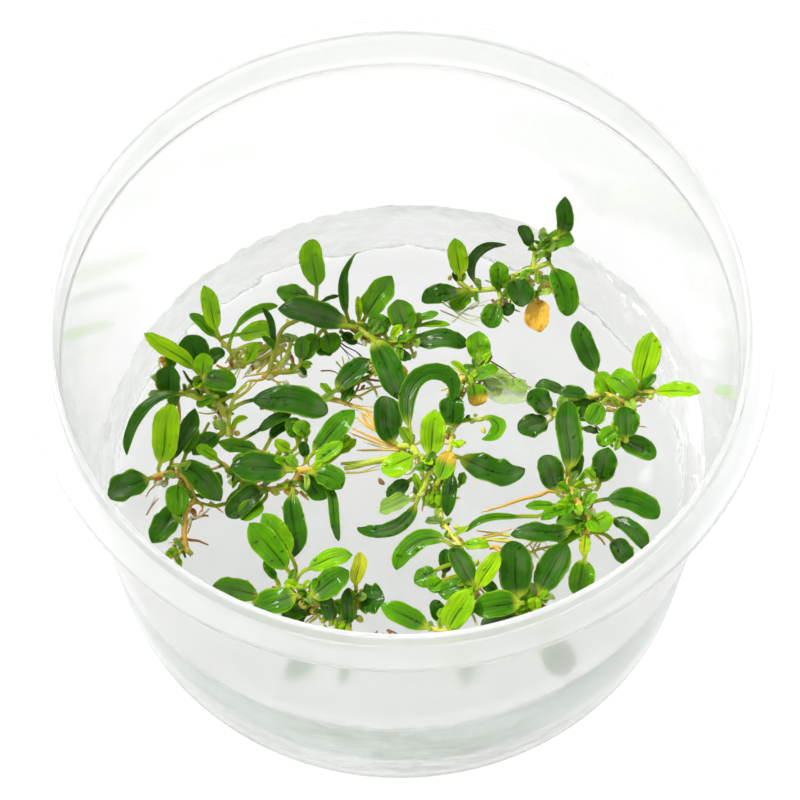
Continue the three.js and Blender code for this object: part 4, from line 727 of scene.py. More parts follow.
# %% The plantlet at the right front
plantlet("right_front", "orange", stems="""
    1.3 | 24 -5.5 2.6 | 24 -8 3.5 | 24.6 -10.6 4 | 25.7 -12 3.8 | 26.6 -13.4 3.3 | 26.2 -15.5 2.5
""", leaves="""
    tall 3.5 | 23.8 -6.2 3.5 | 23.9 4 7 | 15 0.2 0.33 | stalk 0.06
    left 3.5 | 22.3 -9.2 3 | 20.3 -4.3 5.9 | 15 0.15 0.3 | stalk 0.1
    right 3.4 | 26.9 -10.8 3 | 36.2 -13.8 3.5 | 35 0.2 0.32 | sweep -60 stalk 0.25
    yellow 1.5 | 22.4 -10.1 1.2 | 17.8 -10 0.9 | 20 0.3 0.6
    mid 1.7 | 24.1 -10.5 2 | 19.9 -12.5 1.4 | 20 0.2 0.6
    round 3.8 | 26.8 -12.8 3.5 | 28.7 -16.1 4.1 | 20 0.1 0.7 | stalk 0.1
    arch 2.4 | 29 -12.7 2.5 | 34.5 -18.2 2 | 60 0.25 0.25 | sweep -40 stalk 0.15
    tip 2.9 | 29.4 -16 2 | 32.1 -19.6 0.8 | 25 0.4 0.15
    bud 1.5 | 26.1 -15.5 2.6 | 25.7 -18.9 2.1 | 10 0.3 0.95 | age 0.3
    oval 3.4 | 25.8 -19.1 2 | 24.6 -24.6 1 | 25 0.15 0.6 | stalk 0.06
    low 2.9 | 24.8 -14.3 2.5 | 15.5 -15.3 2.5 | 20 0.15 0.28 | sweep -18 stalk 0.08
    strap 1.1 | 18.1 -11.7 1 | 9.3 -13.9 1 | 60 0.4 0.55 | sweep 30
    upper 3.4 | 28.2 -7.4 1.5 | 29.6 -2.8 5 | 15 0.1 0.3
    wedge 2 | 26.4 -13.3 1 | 22.3 -16.4 1 | 20 0.2 0.8
    low_left 2.6 | 26.9 -13 2 | 22.1 -12.8 1.2 | 20 0.2 0.55
    sheath 1.6 | 27.8 -7.6 4 | 25.9 -7 6 | 20 0.2 0.85
    thin 0.8 | 24.5 -7.8 1.5 | 27.7 -5.6 4.2 | 20 0.2 0.6 | sweep -20
    behind 1.6 | 24.6 -6.5 1.5 | 25.7 -3 3.9 | 10 0.3 0.5
    sprout 1.2 | 24.6 -9 2.5 | 26.1 -7.7 4 | 10 0.3 0.85
""", roots="""
    orange 0.7 | 22.4 -7.7 0.8 | 21.2 -7.5 | 20 -8.1 | 17.4 -8.7 | 14.7 -9.7 | 12.2 -10.5
    yellow 0.6 | 15.6 -14.4 0.4 | 14 -14.1 | 11.8 -14.3
    yellow 0.6 | 15.9 -15.4 0.6 | 14.1 -15.3 | 12.2 -14.9
    orange 0.8 | 12.6 -16.3 0.5 | 13.5 -16.2 | 14.5 -16.4
    pale 0.3 | 18 -15.3 0.4 | 18.7 -16.6 | 19.8 -18.7
    pale 0.3 | 19.8 -15.7 0.3 | 19 -17.1 | 18.4 -18.7
    amber 0.6 | 25.5 -14.8 0.8 | 22.6 -16.1 0.6 | 19.8 -16.7 0.5 | 17.5 -17.7 0.4
    yellow 0.6 | 24.7 -13.9 0.6 | 22.1 -14.4 0.5 | 19.6 -14.9 | 17.6 -16.4 0.4
    lime 0.7 | 26.1 -13.7 0.8 | 24 -15.2 | 22 -16.8
    orange 0.6 | 22.6 -17 0.5 | 20.5 -18.2 | 19.2 -19.4 0.4
    pale 0.4 | 23.5 -16.3 0.4 | 21.2 -17.2 | 19.5 -16.4 0.3
""")

# %% [markdown]
# ### The plantlet at the front
#
# A thin stem joins it to the one in the middle.

# %% The plantlet at the front
plantlet("front", "yellow", stems="""
    0.8 | 6.1 -7.4 1 | 5.9 -11.5 | 7.1 -14.2 1.5 | 8.2 -16.1 2 | 9.6 -19 1.6 | 10.7 -23.4 2.7
    0.9 | 10.7 -23.4 2.7 | 9.3 -26.1 1.3 | 6.6 -29.7 1.7 | 4.4 -29.4
""", leaves="""
    hook 2.9 | 7.1 -17.4 4 | -0.5 -20.2 2 | 10 0.2 0.5 | sweep 120
    lean 2.9 | 10.5 -23.7 3 | 6.9 -18.5 5 | 15 0.2 0.35 | stalk 0.05
    shade 1.8 | 6.1 -20.9 1 | 6.4 -17.5 3 | 10 0.2 0.3
    left 2.9 | 5.4 -20.4 2.4 | 2 -22.1 1.5 | 15 0.15 0.5
    mid 2.8 | 9.8 -23.2 2.6 | 5.2 -23.8 2.1 | 20 0.15 0.45
    bright 3.6 | 6.6 -30.3 2 | 9.8 -25.7 6.5 | 20 0.2 0.85 | stalk 0.06
    long 3.1 | 4.2 -29.7 2 | -2.7 -26.3 3.5 | 20 0.25 0.55 | stalk 0.06
    dark 2 | 5.6 -28.5 1 | 4.7 -25.5 3 | 10 0.2 0.22
    yellow 2.5 | 10.8 -24.4 3.8 | 13.5 -20.6 7.7 | 10 0.2 0.92 | stalk 0.05
    tongue 1.7 | 8.4 -16.1 2 | 12.6 -16.9 2 | 15 0.15 0.85
    nest 2.4 | 6.2 -22 2 | 4 -23.5 2 | 20 0.2 0.6
    wall 2 | 10.4 -33 2 | 8.3 -36.6 0.8 | 20 0.2 0.25
""", roots="""
    brown 0.6 | -3.8 -29.7 0.4 | -3.3 -29.4
    brown 0.6 | -2.4 -29.4 0.4 | -2.1 -30.1
    brown 0.6 | -1.7 -28.8 0.4 | -1.2 -29.5
    amber 0.5 | 10 -15.1 0.8 | 12.8 -14.5 0.6 | 14.8 -14.1 0.5
    lime 0.6 | 9.4 -16.4 0.8 | 12.5 -15.1 0.6 | 15.1 -14.8 0.5
""")

# %% [markdown]
# ### The plantlet at the front right
#
# It is pressed against the front wall, and its leaves are broad.

# %% The plantlet at the front right
plantlet("front_right", "orange", stems="""
    1 | 16.4 -26.2 2.6 | 18 -26.3 1.8 | 19.1 -25.3 2
""", leaves="""
    tall 4.5 | 16.4 -26.1 3 | 15.5 -18.5 7 | 20 0.1 0.25 | stalk 0.05
    flat 3.8 | 16.9 -27 4.3 | 10 -27.8 3.9 | 20 0.15 0.42 | stalk 0.04
    under 2.5 | 16.7 -27.1 1.2 | 11.2 -28.9 0.9 | 10 0.15 0.15
    shade 2 | 14 -23.6 1 | 11.4 -23.2 2 | 10 0.2 0.22
    back 3.9 | 19.1 -25.3 2.5 | 23.1 -18.6 6 | 20 0.15 0.3 | stalk 0.08
    bud 1.8 | 18.6 -27.4 2 | 18.8 -25.7 3.5 | 20 0.3 0.9
    nub 2 | 18.5 -25 1 | 18.7 -27.1 1.5 | 20 0.2 0.95
    wall 4.4 | 20.2 -30.5 3 | 22.3 -36.3 1 | 20 0.1 0.05
""", roots="""
    brown 0.8 | 17.2 -25.4 0.6 | 17.8 -26.1
    orange 0.7 | 18.7 -26.4 0.5 | 19.3 -26.8
    olive 0.9 | 17.9 -26.2 0.8 | 19 -27 0.6 | 19.8 -25.9 0.8
""")

# %% [markdown]
# ## Materials
#
# Leaves are dark green when old and lime when young, with a paler stalk, a dark midrib and fine veins that
# run lengthwise. They are wet, so a clear coat lies over the skin. Each leaf carries its own tone as an
# attribute, so one material does for all of them, and the pattern follows the blade because it is drawn in
# the leaf's own coordinates: `share` from foot to tip, `across_blade` from edge to edge and `face` for the
# top or the underside. Sizes of noise are in lumps to the metre: 300 of them are 3 mm apart.

# %% A new material


def skin_graph(name):
    material = bpy.data.materials.new(name)
    material.use_nodes = True
    graph = Graph(material.node_tree)
    shader = material.node_tree.nodes["Principled BSDF"]
    return material, graph, shader


def join(graph, value, shader, name):
    graph.tree.links.new(value.output, shader.inputs[name])


def join_bump(graph, shader, height, strength, deep):
    bump = {"Strength": strength, "Distance": deep * MM, "Height": height}
    join(graph, graph.node("ShaderNodeBump", {}, bump), shader, "Normal")


def set_plain(shader, **values):
    """Plain values for the shader's sockets, such as Coat_Weight for Coat Weight."""
    for name, value in values.items():
        shader.inputs[name.replace("_", " ")].default_value = value


print("helpers:", [helper.__name__ for helper in (skin_graph, join, join_bump, set_plain)])

# %% The leaf's skin
LEAF_GREENS = [
    (0.0, (0.016, 0.07, 0.003)),
    (0.35, (0.034, 0.145, 0.003)),
    (0.6, (0.1, 0.32, 0.001)),
    (0.8, (0.21, 0.51, 0.001)),
    (1.0, (0.42, 0.7, 0.004)),
]
AMBER_LEAF = (0.85, 0.5, 0.06, 1)
MIDRIB_GREEN = (0.006, 0.03, 0.004, 1)
STALK_GREEN = (0.48, 0.58, 0.035, 1)
PAINTED_RIM_LIGHT = (0.36, 0.56, 0.03, 1)
PAINTED_SHEEN = (0.11, 0.17, 0.06, 1)
RUSTY = (0.45, 0.17, 0.02, 1)
PALE_LEAF = (0.5, 0.68, 0.14, 1)
VEINS = 19.0
BEADS = 800.0


def leaf_skin():
    material, graph, shader = skin_graph("leaf_skin")
    place = graph.node("ShaderNodeTexCoord", out=3)

    def fact(name):
        return graph.node("ShaderNodeAttribute", {"attribute_name": name}, out=2)

    def cloud(scale, detail=2.0):
        return graph.cloud(place, scale, detail)

    share, across, face = fact("share"), fact("across_blade"), fact("face")
    tone, age, pale = fact("tone"), fact("age"), fact("pale")
    edge = graph.maths("ABSOLUTE", across)

    # The tone wanders a little over the blade, is lighter at the edge and underneath, and follows the veins.
    under = graph.mask(-face, 0.0, 0.4)
    ribs = graph.maths("SINE", across * VEINS + cloud(300.0) * 1.5)
    tone_here = tone + (cloud(330.0) - 0.5) * 0.35 + edge**4 * 0.1 + ribs * 0.025 + under * 0.12
    green = graph.node("ShaderNodeValToRGB", {"stops": LEAF_GREENS}, {"Fac": tone_here})

    # A dark midrib that fades toward the tip, a painted grey sheen on old leaves, a pale stalk and a painted
    # light rim.
    midrib_mask = (1 - graph.mask(edge, 0.02, 0.1)) * (1 - graph.mask(share, 0.4, 0.95)) * 0.75
    green = graph.mix(midrib_mask, green, MIDRIB_GREEN)
    # Painted sheen: a grey-green patch on the tops of dark leaves, away from their edges, stands in for the
    # bright room's reflection.
    sheen_mask = graph.mask(cloud(210.0), 0.42, 0.62) * (1 - graph.mask(edge, 0.35, 0.8))
    sheen_mask = sheen_mask * graph.mask(face, -0.1, 0.2)
    green = graph.mix(sheen_mask * (1 - tone) * 0.75, green, PAINTED_SHEEN)
    green = graph.mix((1 - graph.mask(share, 0.05, 0.24)) * 0.85, green, STALK_GREEN)
    # Painted light: a lighter green along the blade's edge stands in for light shining through it from
    # behind.
    green = graph.mix(graph.mask(edge, 0.86, 0.99) * 0.45, green, PAINTED_RIM_LIGHT)

    # Old leaves turn amber in patches, or from the tip, with rusty spots.
    aged = graph.clamp(age) * graph.mask(cloud(260.0) + age * 0.45, 0.45, 0.65)
    tipped = graph.clamp(-age) * graph.mask(share + cloud(400.0) * 0.3, 0.6, 0.95)
    amber = graph.mix(graph.mask(cloud(800.0), 0.5, 0.7) * 0.7, AMBER_LEAF, RUSTY)
    green = graph.mix(graph.clamp(aged + tipped), green, amber)
    join(graph, graph.mix(pale, green, PALE_LEAF), shader, "Base Color")
    join(graph, 1 - pale * 0.65, shader, "Alpha")
    join(graph, 0.3 + cloud(500.0) * 0.2, shader, "Roughness")

    # Veins, fine unevenness, beads of water in some places, and the midrib's groove.
    beads = graph.node("ShaderNodeTexVoronoi", {}, {"Vector": place, "Scale": BEADS, "Randomness": 1.0})
    bead = (1 - graph.mask(beads, 0.05, 0.3)) * graph.mask(cloud(300.0), 0.48, 0.54)
    height = ribs * 0.1 + cloud(600.0, 3.0) * 0.7 + bead * 1.8 - midrib_mask * 0.8
    join_bump(graph, shader, height, strength=1.0, deep=0.17)
    set_plain(shader, Specular_IOR_Level=0.04, Coat_Weight=0.13, Coat_Roughness=0.05)
    return material


LEAF_SKIN = leaf_skin()
print("greens:", len(LEAF_GREENS), "nodes in the leaf's skin:", len(LEAF_SKIN.node_tree.nodes))

# %% [markdown]
# ### Stems and roots
#
# A stem is dull and blotchy, with rusty scars where old leaves came off, and roots run from nearly white over
# yellow to brown. A painted picture could show this, but each of several hundred roots would need a place on
# it. Here each line carries one plain paint as an attribute, and noise adds the blotches and the scars.

# %% The skin of stems and roots
PAINTS = {
    "olive": (0.42, 0.46, 0.03),
    "lime": (0.6, 0.72, 0.06),
    "yellow": (0.8, 0.7, 0.1),
    "orange": (0.9, 0.52, 0.07),
    "rust": (0.42, 0.13, 0.02),
    "brown": (0.26, 0.13, 0.03),
    "dark": (0.08, 0.06, 0.02),
    "amber": (0.85, 0.58, 0.1),
    "pale": (0.75, 0.78, 0.4),
    "pink": (0.7, 0.36, 0.22),
}


def stem_skin():
    material, graph, shader = skin_graph("stem_skin")
    place = graph.node("ShaderNodeTexCoord", out=3)

    def cloud(scale):
        return graph.cloud(place, scale, 3.0)

    paint = graph.node("ShaderNodeAttribute", {"attribute_name": "paint"}, out=0)
    blotch = graph.mask(cloud(700.0), 0.5, 0.7)
    paint = graph.mix(blotch * 0.3, paint, (*PAINTS["olive"], 1))
    scar = graph.mask(cloud(1500.0), 0.6, 0.75)
    join(graph, graph.mix(scar * 0.5, paint, (*PAINTS["rust"], 1)), shader, "Base Color")
    join(graph, 0.35 + cloud(900.0) * 0.2, shader, "Roughness")
    join_bump(graph, shader, cloud(1600.0), strength=0.7, deep=0.1)
    set_plain(shader, Specular_IOR_Level=0.35, Coat_Weight=0.2, Coat_Roughness=0.15)
    return material


STEM_SKIN = stem_skin()
print("paints:", len(PAINTS), "nodes in the stem's skin:", len(STEM_SKIN.node_tree.nodes))

# %% [markdown]
# ## A tree that grows blades on midribs
#
# The midribs come in as edges whose points carry the leaf's facts. The tree turns them into curves, sweeps a
# ring along each, and then puts every point of the ring where the rule of the blade says: as far out as the
# leaf is wide there, raised at its edges, grooved along the top of the midrib, thicker at the stalk and
# closed at the tip, which is blunt in some leaves and pointed in others. One modifier makes all the small
# leaves of a plantlet in one go.

# %% Helpers for trees that make shapes


def tree_with(name, numbers):
    tree = bpy.data.node_groups.new(name, "GeometryNodeTree")
    tree.is_modifier = True
    tree.interface.new_socket("Geometry", in_out="INPUT", socket_type="NodeSocketGeometry")
    for label, kind, value in numbers:
        made = tree.interface.new_socket(label, in_out="INPUT", socket_type=kind)
        if value is not None:
            made.default_value = value
    tree.interface.new_socket("Geometry", in_out="OUTPUT", socket_type="NodeSocketGeometry")
    return Graph(tree)


def close_tree(graph, geometry, material):
    smooth = graph.node("GeometryNodeSetShadeSmooth", {}, {"Geometry": geometry})
    real = graph.node("GeometryNodeRealizeInstances", {}, {"Geometry": smooth})
    dressed = graph.node("GeometryNodeSetMaterial", {}, {"Geometry": real, "Material": material})
    end = graph.node("NodeGroupOutput")
    graph.tree.links.new(dressed.output, end.inputs["Geometry"])


def tree_inputs(graph):
    start = graph.tree.nodes.new("NodeGroupInput")
    return {socket.name: Socket(graph, socket) for socket in start.outputs if socket.name}


def named(graph, name, kind="FLOAT"):
    return graph.node("GeometryNodeInputNamedAttribute", {"data_type": kind}, {"Name": name})


def marked(graph, geometry, name, value, kind="FLOAT"):
    """The geometry, whose points now carry the value under a name."""
    marks = {"data_type": kind, "domain": "POINT"}
    inputs = {"Geometry": geometry, "Name": name, "Value": value}
    return graph.node("GeometryNodeStoreNamedAttribute", marks, inputs)


def swept(graph, geometry, sides, scale=1.0):
    """Rings along the edges of a mesh. Each ring's points know where on the ring they are."""
    line = graph.node("GeometryNodeMeshToCurve", {}, {"Mesh": geometry})
    round_ring = {"Resolution": sides, "Radius": 1.0}
    ring = graph.node("GeometryNodeCurvePrimitiveCircle", {"mode": "RADIUS"}, round_ring)
    ring = marked(graph, ring, "ring", graph.node("GeometryNodeInputPosition"), "FLOAT_VECTOR")
    ends = {"Curve": line, "Profile Curve": ring, "Scale": scale, "Fill Caps": True}
    return graph.node("GeometryNodeCurveToMesh", {}, ends)


print("helpers:", [helper.__name__ for helper in (tree_with, close_tree, tree_inputs, named, marked, swept)])

# %% The blade tree
BLADE_SIDES = 28
THINNEST_STALK = 0.31


def blade_tree():
    numbers = [
        ("Sides", "NodeSocketInt", BLADE_SIDES),
        ("Thickness", "NodeSocketFloat", 0.32 * MM),
        ("Groove", "NodeSocketFloat", 0.12 * MM),
        ("Ripple", "NodeSocketFloat", 1.0),
        ("Ragged edge", "NodeSocketFloat", 0.3),
        ("Point", "NodeSocketFloat", 0.34),
        ("Unevenness", "NodeSocketFloat", 0.32 * MM),
        ("Skin", "NodeSocketMaterial", None),
    ]
    graph = tree_with("blades", numbers)
    given = tree_inputs(graph)
    mesh = swept(graph, given["Geometry"], given["Sides"])
    x, y, _ = graph.split(named(graph, "ring", "FLOAT_VECTOR"))
    share, half, stalk = named(graph, "share"), named(graph, "half"), named(graph, "stalk")
    cup, beat, wave, lean = (named(graph, fact) for fact in ("cup", "beat", "wave", "lean"))

    # How wide it is at u, which runs from 0 where the stalk ends to 1 at the tip.
    far_out = graph.maths("ABSOLUTE", x)
    u = graph.clamp((share - stalk) / (1 - stalk))
    bow = graph.maths("ABSOLUTE", 2 * u**1.05 - 1) ** 2.7
    point = given["Point"] * graph.mask(u, 0.35, 1.0) * graph.mask(beat, 0.1, 0.7)
    blade = graph.clamp(1 - bow) ** (0.58 + point)
    thin = graph.maths("MAXIMUM", half * 0.15, THINNEST_STALK * MM)
    here = graph.node("GeometryNodeInputPosition")
    ragged = 1 + (graph.cloud(here, 260.0, 1.5) - 0.5) * given["Ragged edge"] + lean * x
    width = graph.maths("MAXIMUM", thin * (1 - u), half * blade * ragged)

    # How thick: the stalk is nearly round and the blade thins toward its tip.
    stalky = 1 - graph.clamp(blade * 2.2)
    ends = graph.clamp((1 - u) * 6 + blade)
    thick = (given["Thickness"] * (1 - 0.45 * u) * (1 - stalky) + thin * 1.5 * stalky) * ends
    groove = graph.maths("GREATER_THAN", y, 0.3) * (1 - graph.clamp(far_out * 5)) * given["Groove"]
    groove = groove * graph.clamp(blade * 1.5)

    # How high: raised edges that ripple, dents, and the groove.
    side = graph.maths("SIGN", x)
    ripple = graph.maths("SINE", share * (11 + beat * 8) + beat * 6.28 + side * (0.6 + beat))
    ripple = ripple * wave * given["Ripple"] * width * far_out**2
    dents = (graph.cloud(here, 260.0, 1.0) - 0.5) * given["Unevenness"] * blade
    lift = cup * width * far_out**1.6 + ripple + dents + y * thick * 0.5 - groove

    # Each point goes out from the midrib along the leaf's own two ways.
    out = graph.stretch(named(graph, "across", "FLOAT_VECTOR"), x * width)
    out = graph.together(out, graph.stretch(named(graph, "up", "FLOAT_VECTOR"), lift))
    out = graph.together(out, named(graph, "centre", "FLOAT_VECTOR"))
    mesh = graph.node("GeometryNodeSetPosition", {}, {"Geometry": mesh, "Position": out})
    mesh = marked(graph, mesh, "across_blade", x)
    mesh = marked(graph, mesh, "face", y)
    mesh = graph.node("GeometryNodeMergeByDistance", {}, {"Geometry": mesh, "Distance": 0.004 * MM})
    close_tree(graph, mesh, given["Skin"])
    return graph.tree


BLADES = blade_tree()
print("nodes in the blade tree:", len(BLADES.nodes))

# %% [markdown]
# ## A tree that makes stems and roots
#
# A stem is the same idea with a plain ring: its radius comes from the line's points, and noise pushes the
# skin in and out, so that a stem looks knobbly where old leaves came off.

# %% The stem tree


def stem_tree():
    numbers = [
        ("Sides", "NodeSocketInt", 10),
        ("Knobs", "NodeSocketFloat", 0.55),
        ("Knob scale", "NodeSocketFloat", 900.0),
        ("Skin", "NodeSocketMaterial", None),
    ]
    graph = tree_with("stems", numbers)
    given = tree_inputs(graph)
    radius = named(graph, "radius")
    mesh = swept(graph, given["Geometry"], given["Sides"], radius)
    here = graph.node("GeometryNodeInputPosition")
    push = (graph.cloud(here, given["Knob scale"]) - 0.45) * given["Knobs"] * radius * 2
    away = graph.stretch(graph.node("GeometryNodeInputNormal"), push)
    mesh = graph.node("GeometryNodeSetPosition", {}, {"Geometry": mesh, "Offset": away})
    close_tree(graph, mesh, given["Skin"])
    return graph.tree


STEMS = stem_tree()
print("nodes in the stem tree:", len(STEMS.nodes))

# %% [markdown]
# ## From lines to pieces
#
# A line is a list of points, each with its facts. All the lines of a piece go into one mesh of bare edges,
# the tree is put on it as a modifier, and the evaluated result is kept as a plain mesh. Its place is in the
# mesh, and the object stays at the origin, as the packed solids do.

# %% Growing a piece


def edges_with_facts(name, lines):
    mesh = bpy.data.meshes.new(name)
    points = [point for line in lines for point in line]
    edges = []
    first = 0
    for line in lines:
        edges += [(first + i, first + i + 1) for i in range(len(line) - 1)]
        first += len(line)
    mesh.from_pydata([point["centre"] for point in points], edges, [])
    for fact, value in points[0].items():
        several = hasattr(value, "__len__")
        layer = mesh.attributes.new(fact, "FLOAT_VECTOR" if several else "FLOAT", "POINT")
        numbers = np.array([point[fact] for point in points], dtype=np.float32).ravel()
        layer.data.foreach_set("vector" if several else "value", numbers)
    return mesh


def grown(name, lines, tree, **values):
    """A plain mesh object: the lines, dressed by the tree."""
    source = placed(name + "_lines", edges_with_facts(name + "_lines", lines))
    modifier = source.modifiers.new(name, "NODES")
    modifier.node_group = tree
    for item in tree.interface.items_tree:
        if item.in_out == "INPUT" and item.name in values:
            modifier[item.identifier] = values[item.name]
    source.update_tag()
    bpy.context.view_layer.update()
    states = bpy.context.evaluated_depsgraph_get()
    ready = source.evaluated_get(states)
    mesh = bpy.data.meshes.new_from_object(ready, preserve_all_data_layers=True, depsgraph=states)
    mesh.name = name
    bpy.data.objects.remove(source)
    return placed(name, mesh)


def stands_for(piece, node):
    """Ties a finished piece to the body, and hides the solid whose place it takes."""
    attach(piece, "root")
    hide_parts(node)


print("helpers:", [helper.__name__ for helper in (edges_with_facts, grown, stands_for)])

# %% [markdown]
# ### From a leaf to its line
#
# A real leaf's stalk leaves the stem in a small bend, and no two leaves are quite alike. So each line starts
# on the nearest point of a stem and leads over to the leaf's foot, and one random number, the leaf's beat,
# gives it waves, a lean and bends of its own. The points lie closer together at the blade's two ends, where
# its outline turns fastest. A model of one leaf could be copied instead, but the eye soon finds the copies.

# %% The lines of leaves
BLADE_STEPS = 20
HALF_WIDTH = 0.53
STALK_GAP = 0.15


def blade_line(item, stems, beat):
    """The midrib's points, with a stalk that first leads over from the nearest point of a stem.

    The beat is a random number from 0 to 1 that makes each leaf's waves, lean and bends its own.
    """
    stalk = item["stalk"]
    shares = [stalk * k / 3 for k in range(3)]
    for k in range(BLADE_STEPS + 1):
        shares.append(stalk + (1 - stalk) * (1 - math.cos(math.pi * k / BLADE_STEPS)) / 2)
    stations = midrib(item, shares)
    foot = stations[0]
    start = min((point for stem in stems for point in stem), key=lambda p: (p - foot["place"]).length)
    gap = (foot["place"] - start).length
    lead = []
    if gap > STALK_GAP:
        for k in range(4):
            s = k / 4
            straight = start.lerp(foot["place"], s)
            bent = foot["place"] - foot["along"] * gap * (1 - s) * 0.8
            lead.append({**foot, "share": 0.0, "place": straight.lerp(bent, s)})
    facts = {name: item[name] for name in ("stalk", "cup", "tone", "age", "pale")}
    facts.update(half=item["wide"] * HALF_WIDTH * MM, beat=beat)
    facts.update(wave=0.04 + 0.16 * (beat * 7.3 % 1), lean=0.3 * (beat * 3.7 % 1) - 0.15)

    # Each midrib also snakes a little to the sides and has a low hump, both a few hundredths of its length.
    long = (stations[-1]["place"] - foot["place"]).length
    snake = (0.07 * (beat * 5.9 % 1) - 0.035) * long
    hump = (0.09 * (beat * 9.7 % 1) - 0.03) * long
    line = []
    for spot in lead + stations:
        sway = math.sin(math.tau * spot["share"])
        moved = spot["across"] * snake * sway - spot["up"] * hump * sway
        here = {name: spot[name] for name in ("across", "up", "share")}
        line.append({"centre": (spot["place"] + moved) * MM, **here, **facts})
    return line


def stem_line(points, thick, paint, taper=0.0, crumb=False):
    line = []
    for k, point in enumerate(points):
        share = k / (len(points) - 1)
        radius = thick * 0.4 * (1 - taper * share**2) * MM
        if crumb:
            radius *= max(0.1, math.sin(math.pi * share)) ** 0.5
        line.append({"centre": point * MM, "radius": radius, "paint": PAINTS[paint]})
    return line


trial = blade_line(leaf("trial", (0, 0, 1), (9, 0, 4), 3), [[on_gel((0, 0, 0))]], beat=0.5)
print("a trial leaf's line has", len(trial), "points with", len(trial[0]), "facts each")

# %% [markdown]
# ## The plantlets
#
# A leaf that has a solid of its own becomes a piece that replaces that solid. The other leaves of a plantlet
# are one piece, and its stems and roots another: both stand for the plantlet's stem solid.

# %% Young leaves and roots that follow a rule


def young_leaves(runs, draws, count):
    """Short leaves that stand round the stems, more of them near the stems' ends."""
    made = []
    for k in range(count):
        run = draws.choice(runs)
        spot = run[int(len(run) * draws.random() ** 0.6 * 0.999)]
        turn = draws.uniform(0, math.tau)
        rise = draws.uniform(-0.2, 0.9)
        long = draws.uniform(1.2, 3.6)
        reach = Vector((math.cos(turn) * math.cos(rise), math.sin(turn) * math.cos(rise), math.sin(rise)))
        tip = spot + reach * long
        lowest = gel_top(tip.x, tip.y) + 0.4
        tip.z = max(tip.z, lowest)
        above = [(p.x, p.y, p.z - gel_top(p.x, p.y)) for p in (spot, tip)]
        bend = dict(droop=draws.uniform(0, 60), sweep=draws.uniform(-50, 50), cup=draws.uniform(0.1, 0.6))
        bend.update(tone=draws.uniform(0.45, 1), pale=draws.choice([0, 0.1, 0.35]), stalk=0.2)
        made.append(leaf(f"young_{k}", *above, long * draws.uniform(0.28, 0.5), **bend))
    return made


def companions(roots, draws):
    """Each drawn root gets one or two thinner ones beside it, so that they lie in bundles."""
    made = []
    for item in roots:
        for _ in range(draws.choice([1, 1, 2])):
            aside = Vector((draws.uniform(-0.5, 0.5), draws.uniform(-0.5, 0.5), draws.uniform(-0.1, 0.2)))
            points = [p + aside * (k / len(item["points"])) for k, p in enumerate(item["points"])]
            points[-1] = points[-1] + aside * 1.5
            made.append({**item, "thick": item["thick"] * draws.uniform(0.5, 0.8), "points": points})
    return made


def crumbs(runs, draws, count):
    """Short knobbly bits of old tissue that lie about the foot of the stems."""
    made = []
    for _ in range(count):
        spot = draws.choice(draws.choice(runs))
        turn = draws.uniform(0, math.tau)
        away = Vector((math.cos(turn), math.sin(turn), 0)) * draws.uniform(0, 1.8)
        foot = spot + away
        above = draws.uniform(0.25, max(0.5, spot.z - gel_top(spot.x, spot.y)))
        foot.z = gel_top(foot.x, foot.y) + above
        turn = draws.uniform(0, math.tau)
        step = Vector((math.cos(turn), math.sin(turn), draws.uniform(-0.3, 0.5))) * draws.uniform(0.3, 0.7)
        paint = draws.choice(["pale", "lime", "yellow", "olive", "amber", "lime", "rust", "pale"])
        made.append(dict(paint=paint, thick=draws.uniform(0.6, 1.4), points=[foot - step, foot, foot + step]))
    return made


def fine_roots(runs, draws, count):
    """Thin roots that leave the stems, bend down to the jelly and wander over it."""
    made = []
    for _ in range(count):
        run = draws.choice(runs)
        spot = run[int(len(run) * draws.random() * 0.999)]
        turn = draws.uniform(0, math.tau)
        points = [spot]
        above = spot.z - gel_top(spot.x, spot.y)
        for k in range(1, 5):
            turn += draws.uniform(-0.5, 0.5)
            step = Vector((math.cos(turn), math.sin(turn), 0)) * draws.uniform(0.6, 1.3)
            spot = spot + step
            above = max(0.12, above * 0.45)
            points.append(Vector((spot.x, spot.y, gel_top(spot.x, spot.y) + above)))
        paint = draws.choice(["yellow", "orange", "yellow", "pale", "lime", "amber", "rust"])
        made.append(dict(paint=paint, thick=draws.uniform(0.35, 0.7), points=points))
    return made


print("rules:", [rule.__name__ for rule in (young_leaves, companions, crumbs, fine_roots)])

# %% Grow every plantlet
YOUNG = {"back_left": 7, "sprig": 14, "left_front": 14}
YOUNG_ELSEWHERE = 24
FINE_ROOTS = 14
CRUMBS = 36
STEM_STEP = 0.35
CRUMB_STEP = 0.12
draws = random.Random(7)
leaf_count = 0
for name, plant in PLANTS.items():
    node = name + "_stem"
    runs = [through(stem["points"], STEM_STEP) for stem in plant["stems"]]
    lines = [stem_line(run, stem["thick"], plant["skin"]) for run, stem in zip(runs, plant["stems"])]
    roots = plant["roots"] + companions(plant["roots"], draws) + fine_roots(runs, draws, FINE_ROOTS)
    for item in roots:
        lines.append(stem_line(through(item["points"], STEM_STEP), item["thick"], item["paint"], taper=0.5))
    for item in crumbs(runs, draws, CRUMBS):
        lines.append(stem_line(through(item["points"], CRUMB_STEP), item["thick"], item["paint"], crumb=True))
    stands_for(grown(name + "_growth", lines, STEMS, Skin=STEM_SKIN), node)
    small = []
    for item in plant["leaves"] + young_leaves(runs, draws, YOUNG.get(name, YOUNG_ELSEWHERE)):
        line = blade_line(item, runs, draws.random())
        leaf_count += 1
        own = name + "_leaf_" + item["name"]
        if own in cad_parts:
            stands_for(grown(own + "_blade", [line], BLADES, Skin=LEAF_SKIN), own)
        else:
            small.append(line)
    blades = grown(name + "_small_leaves", small, BLADES, Skin=LEAF_SKIN)
    stands_for(blades, node)
    print(name, "small leaves:", len(small), "polygons:", len(blades.data.polygons))
print("leaves:", leaf_count)

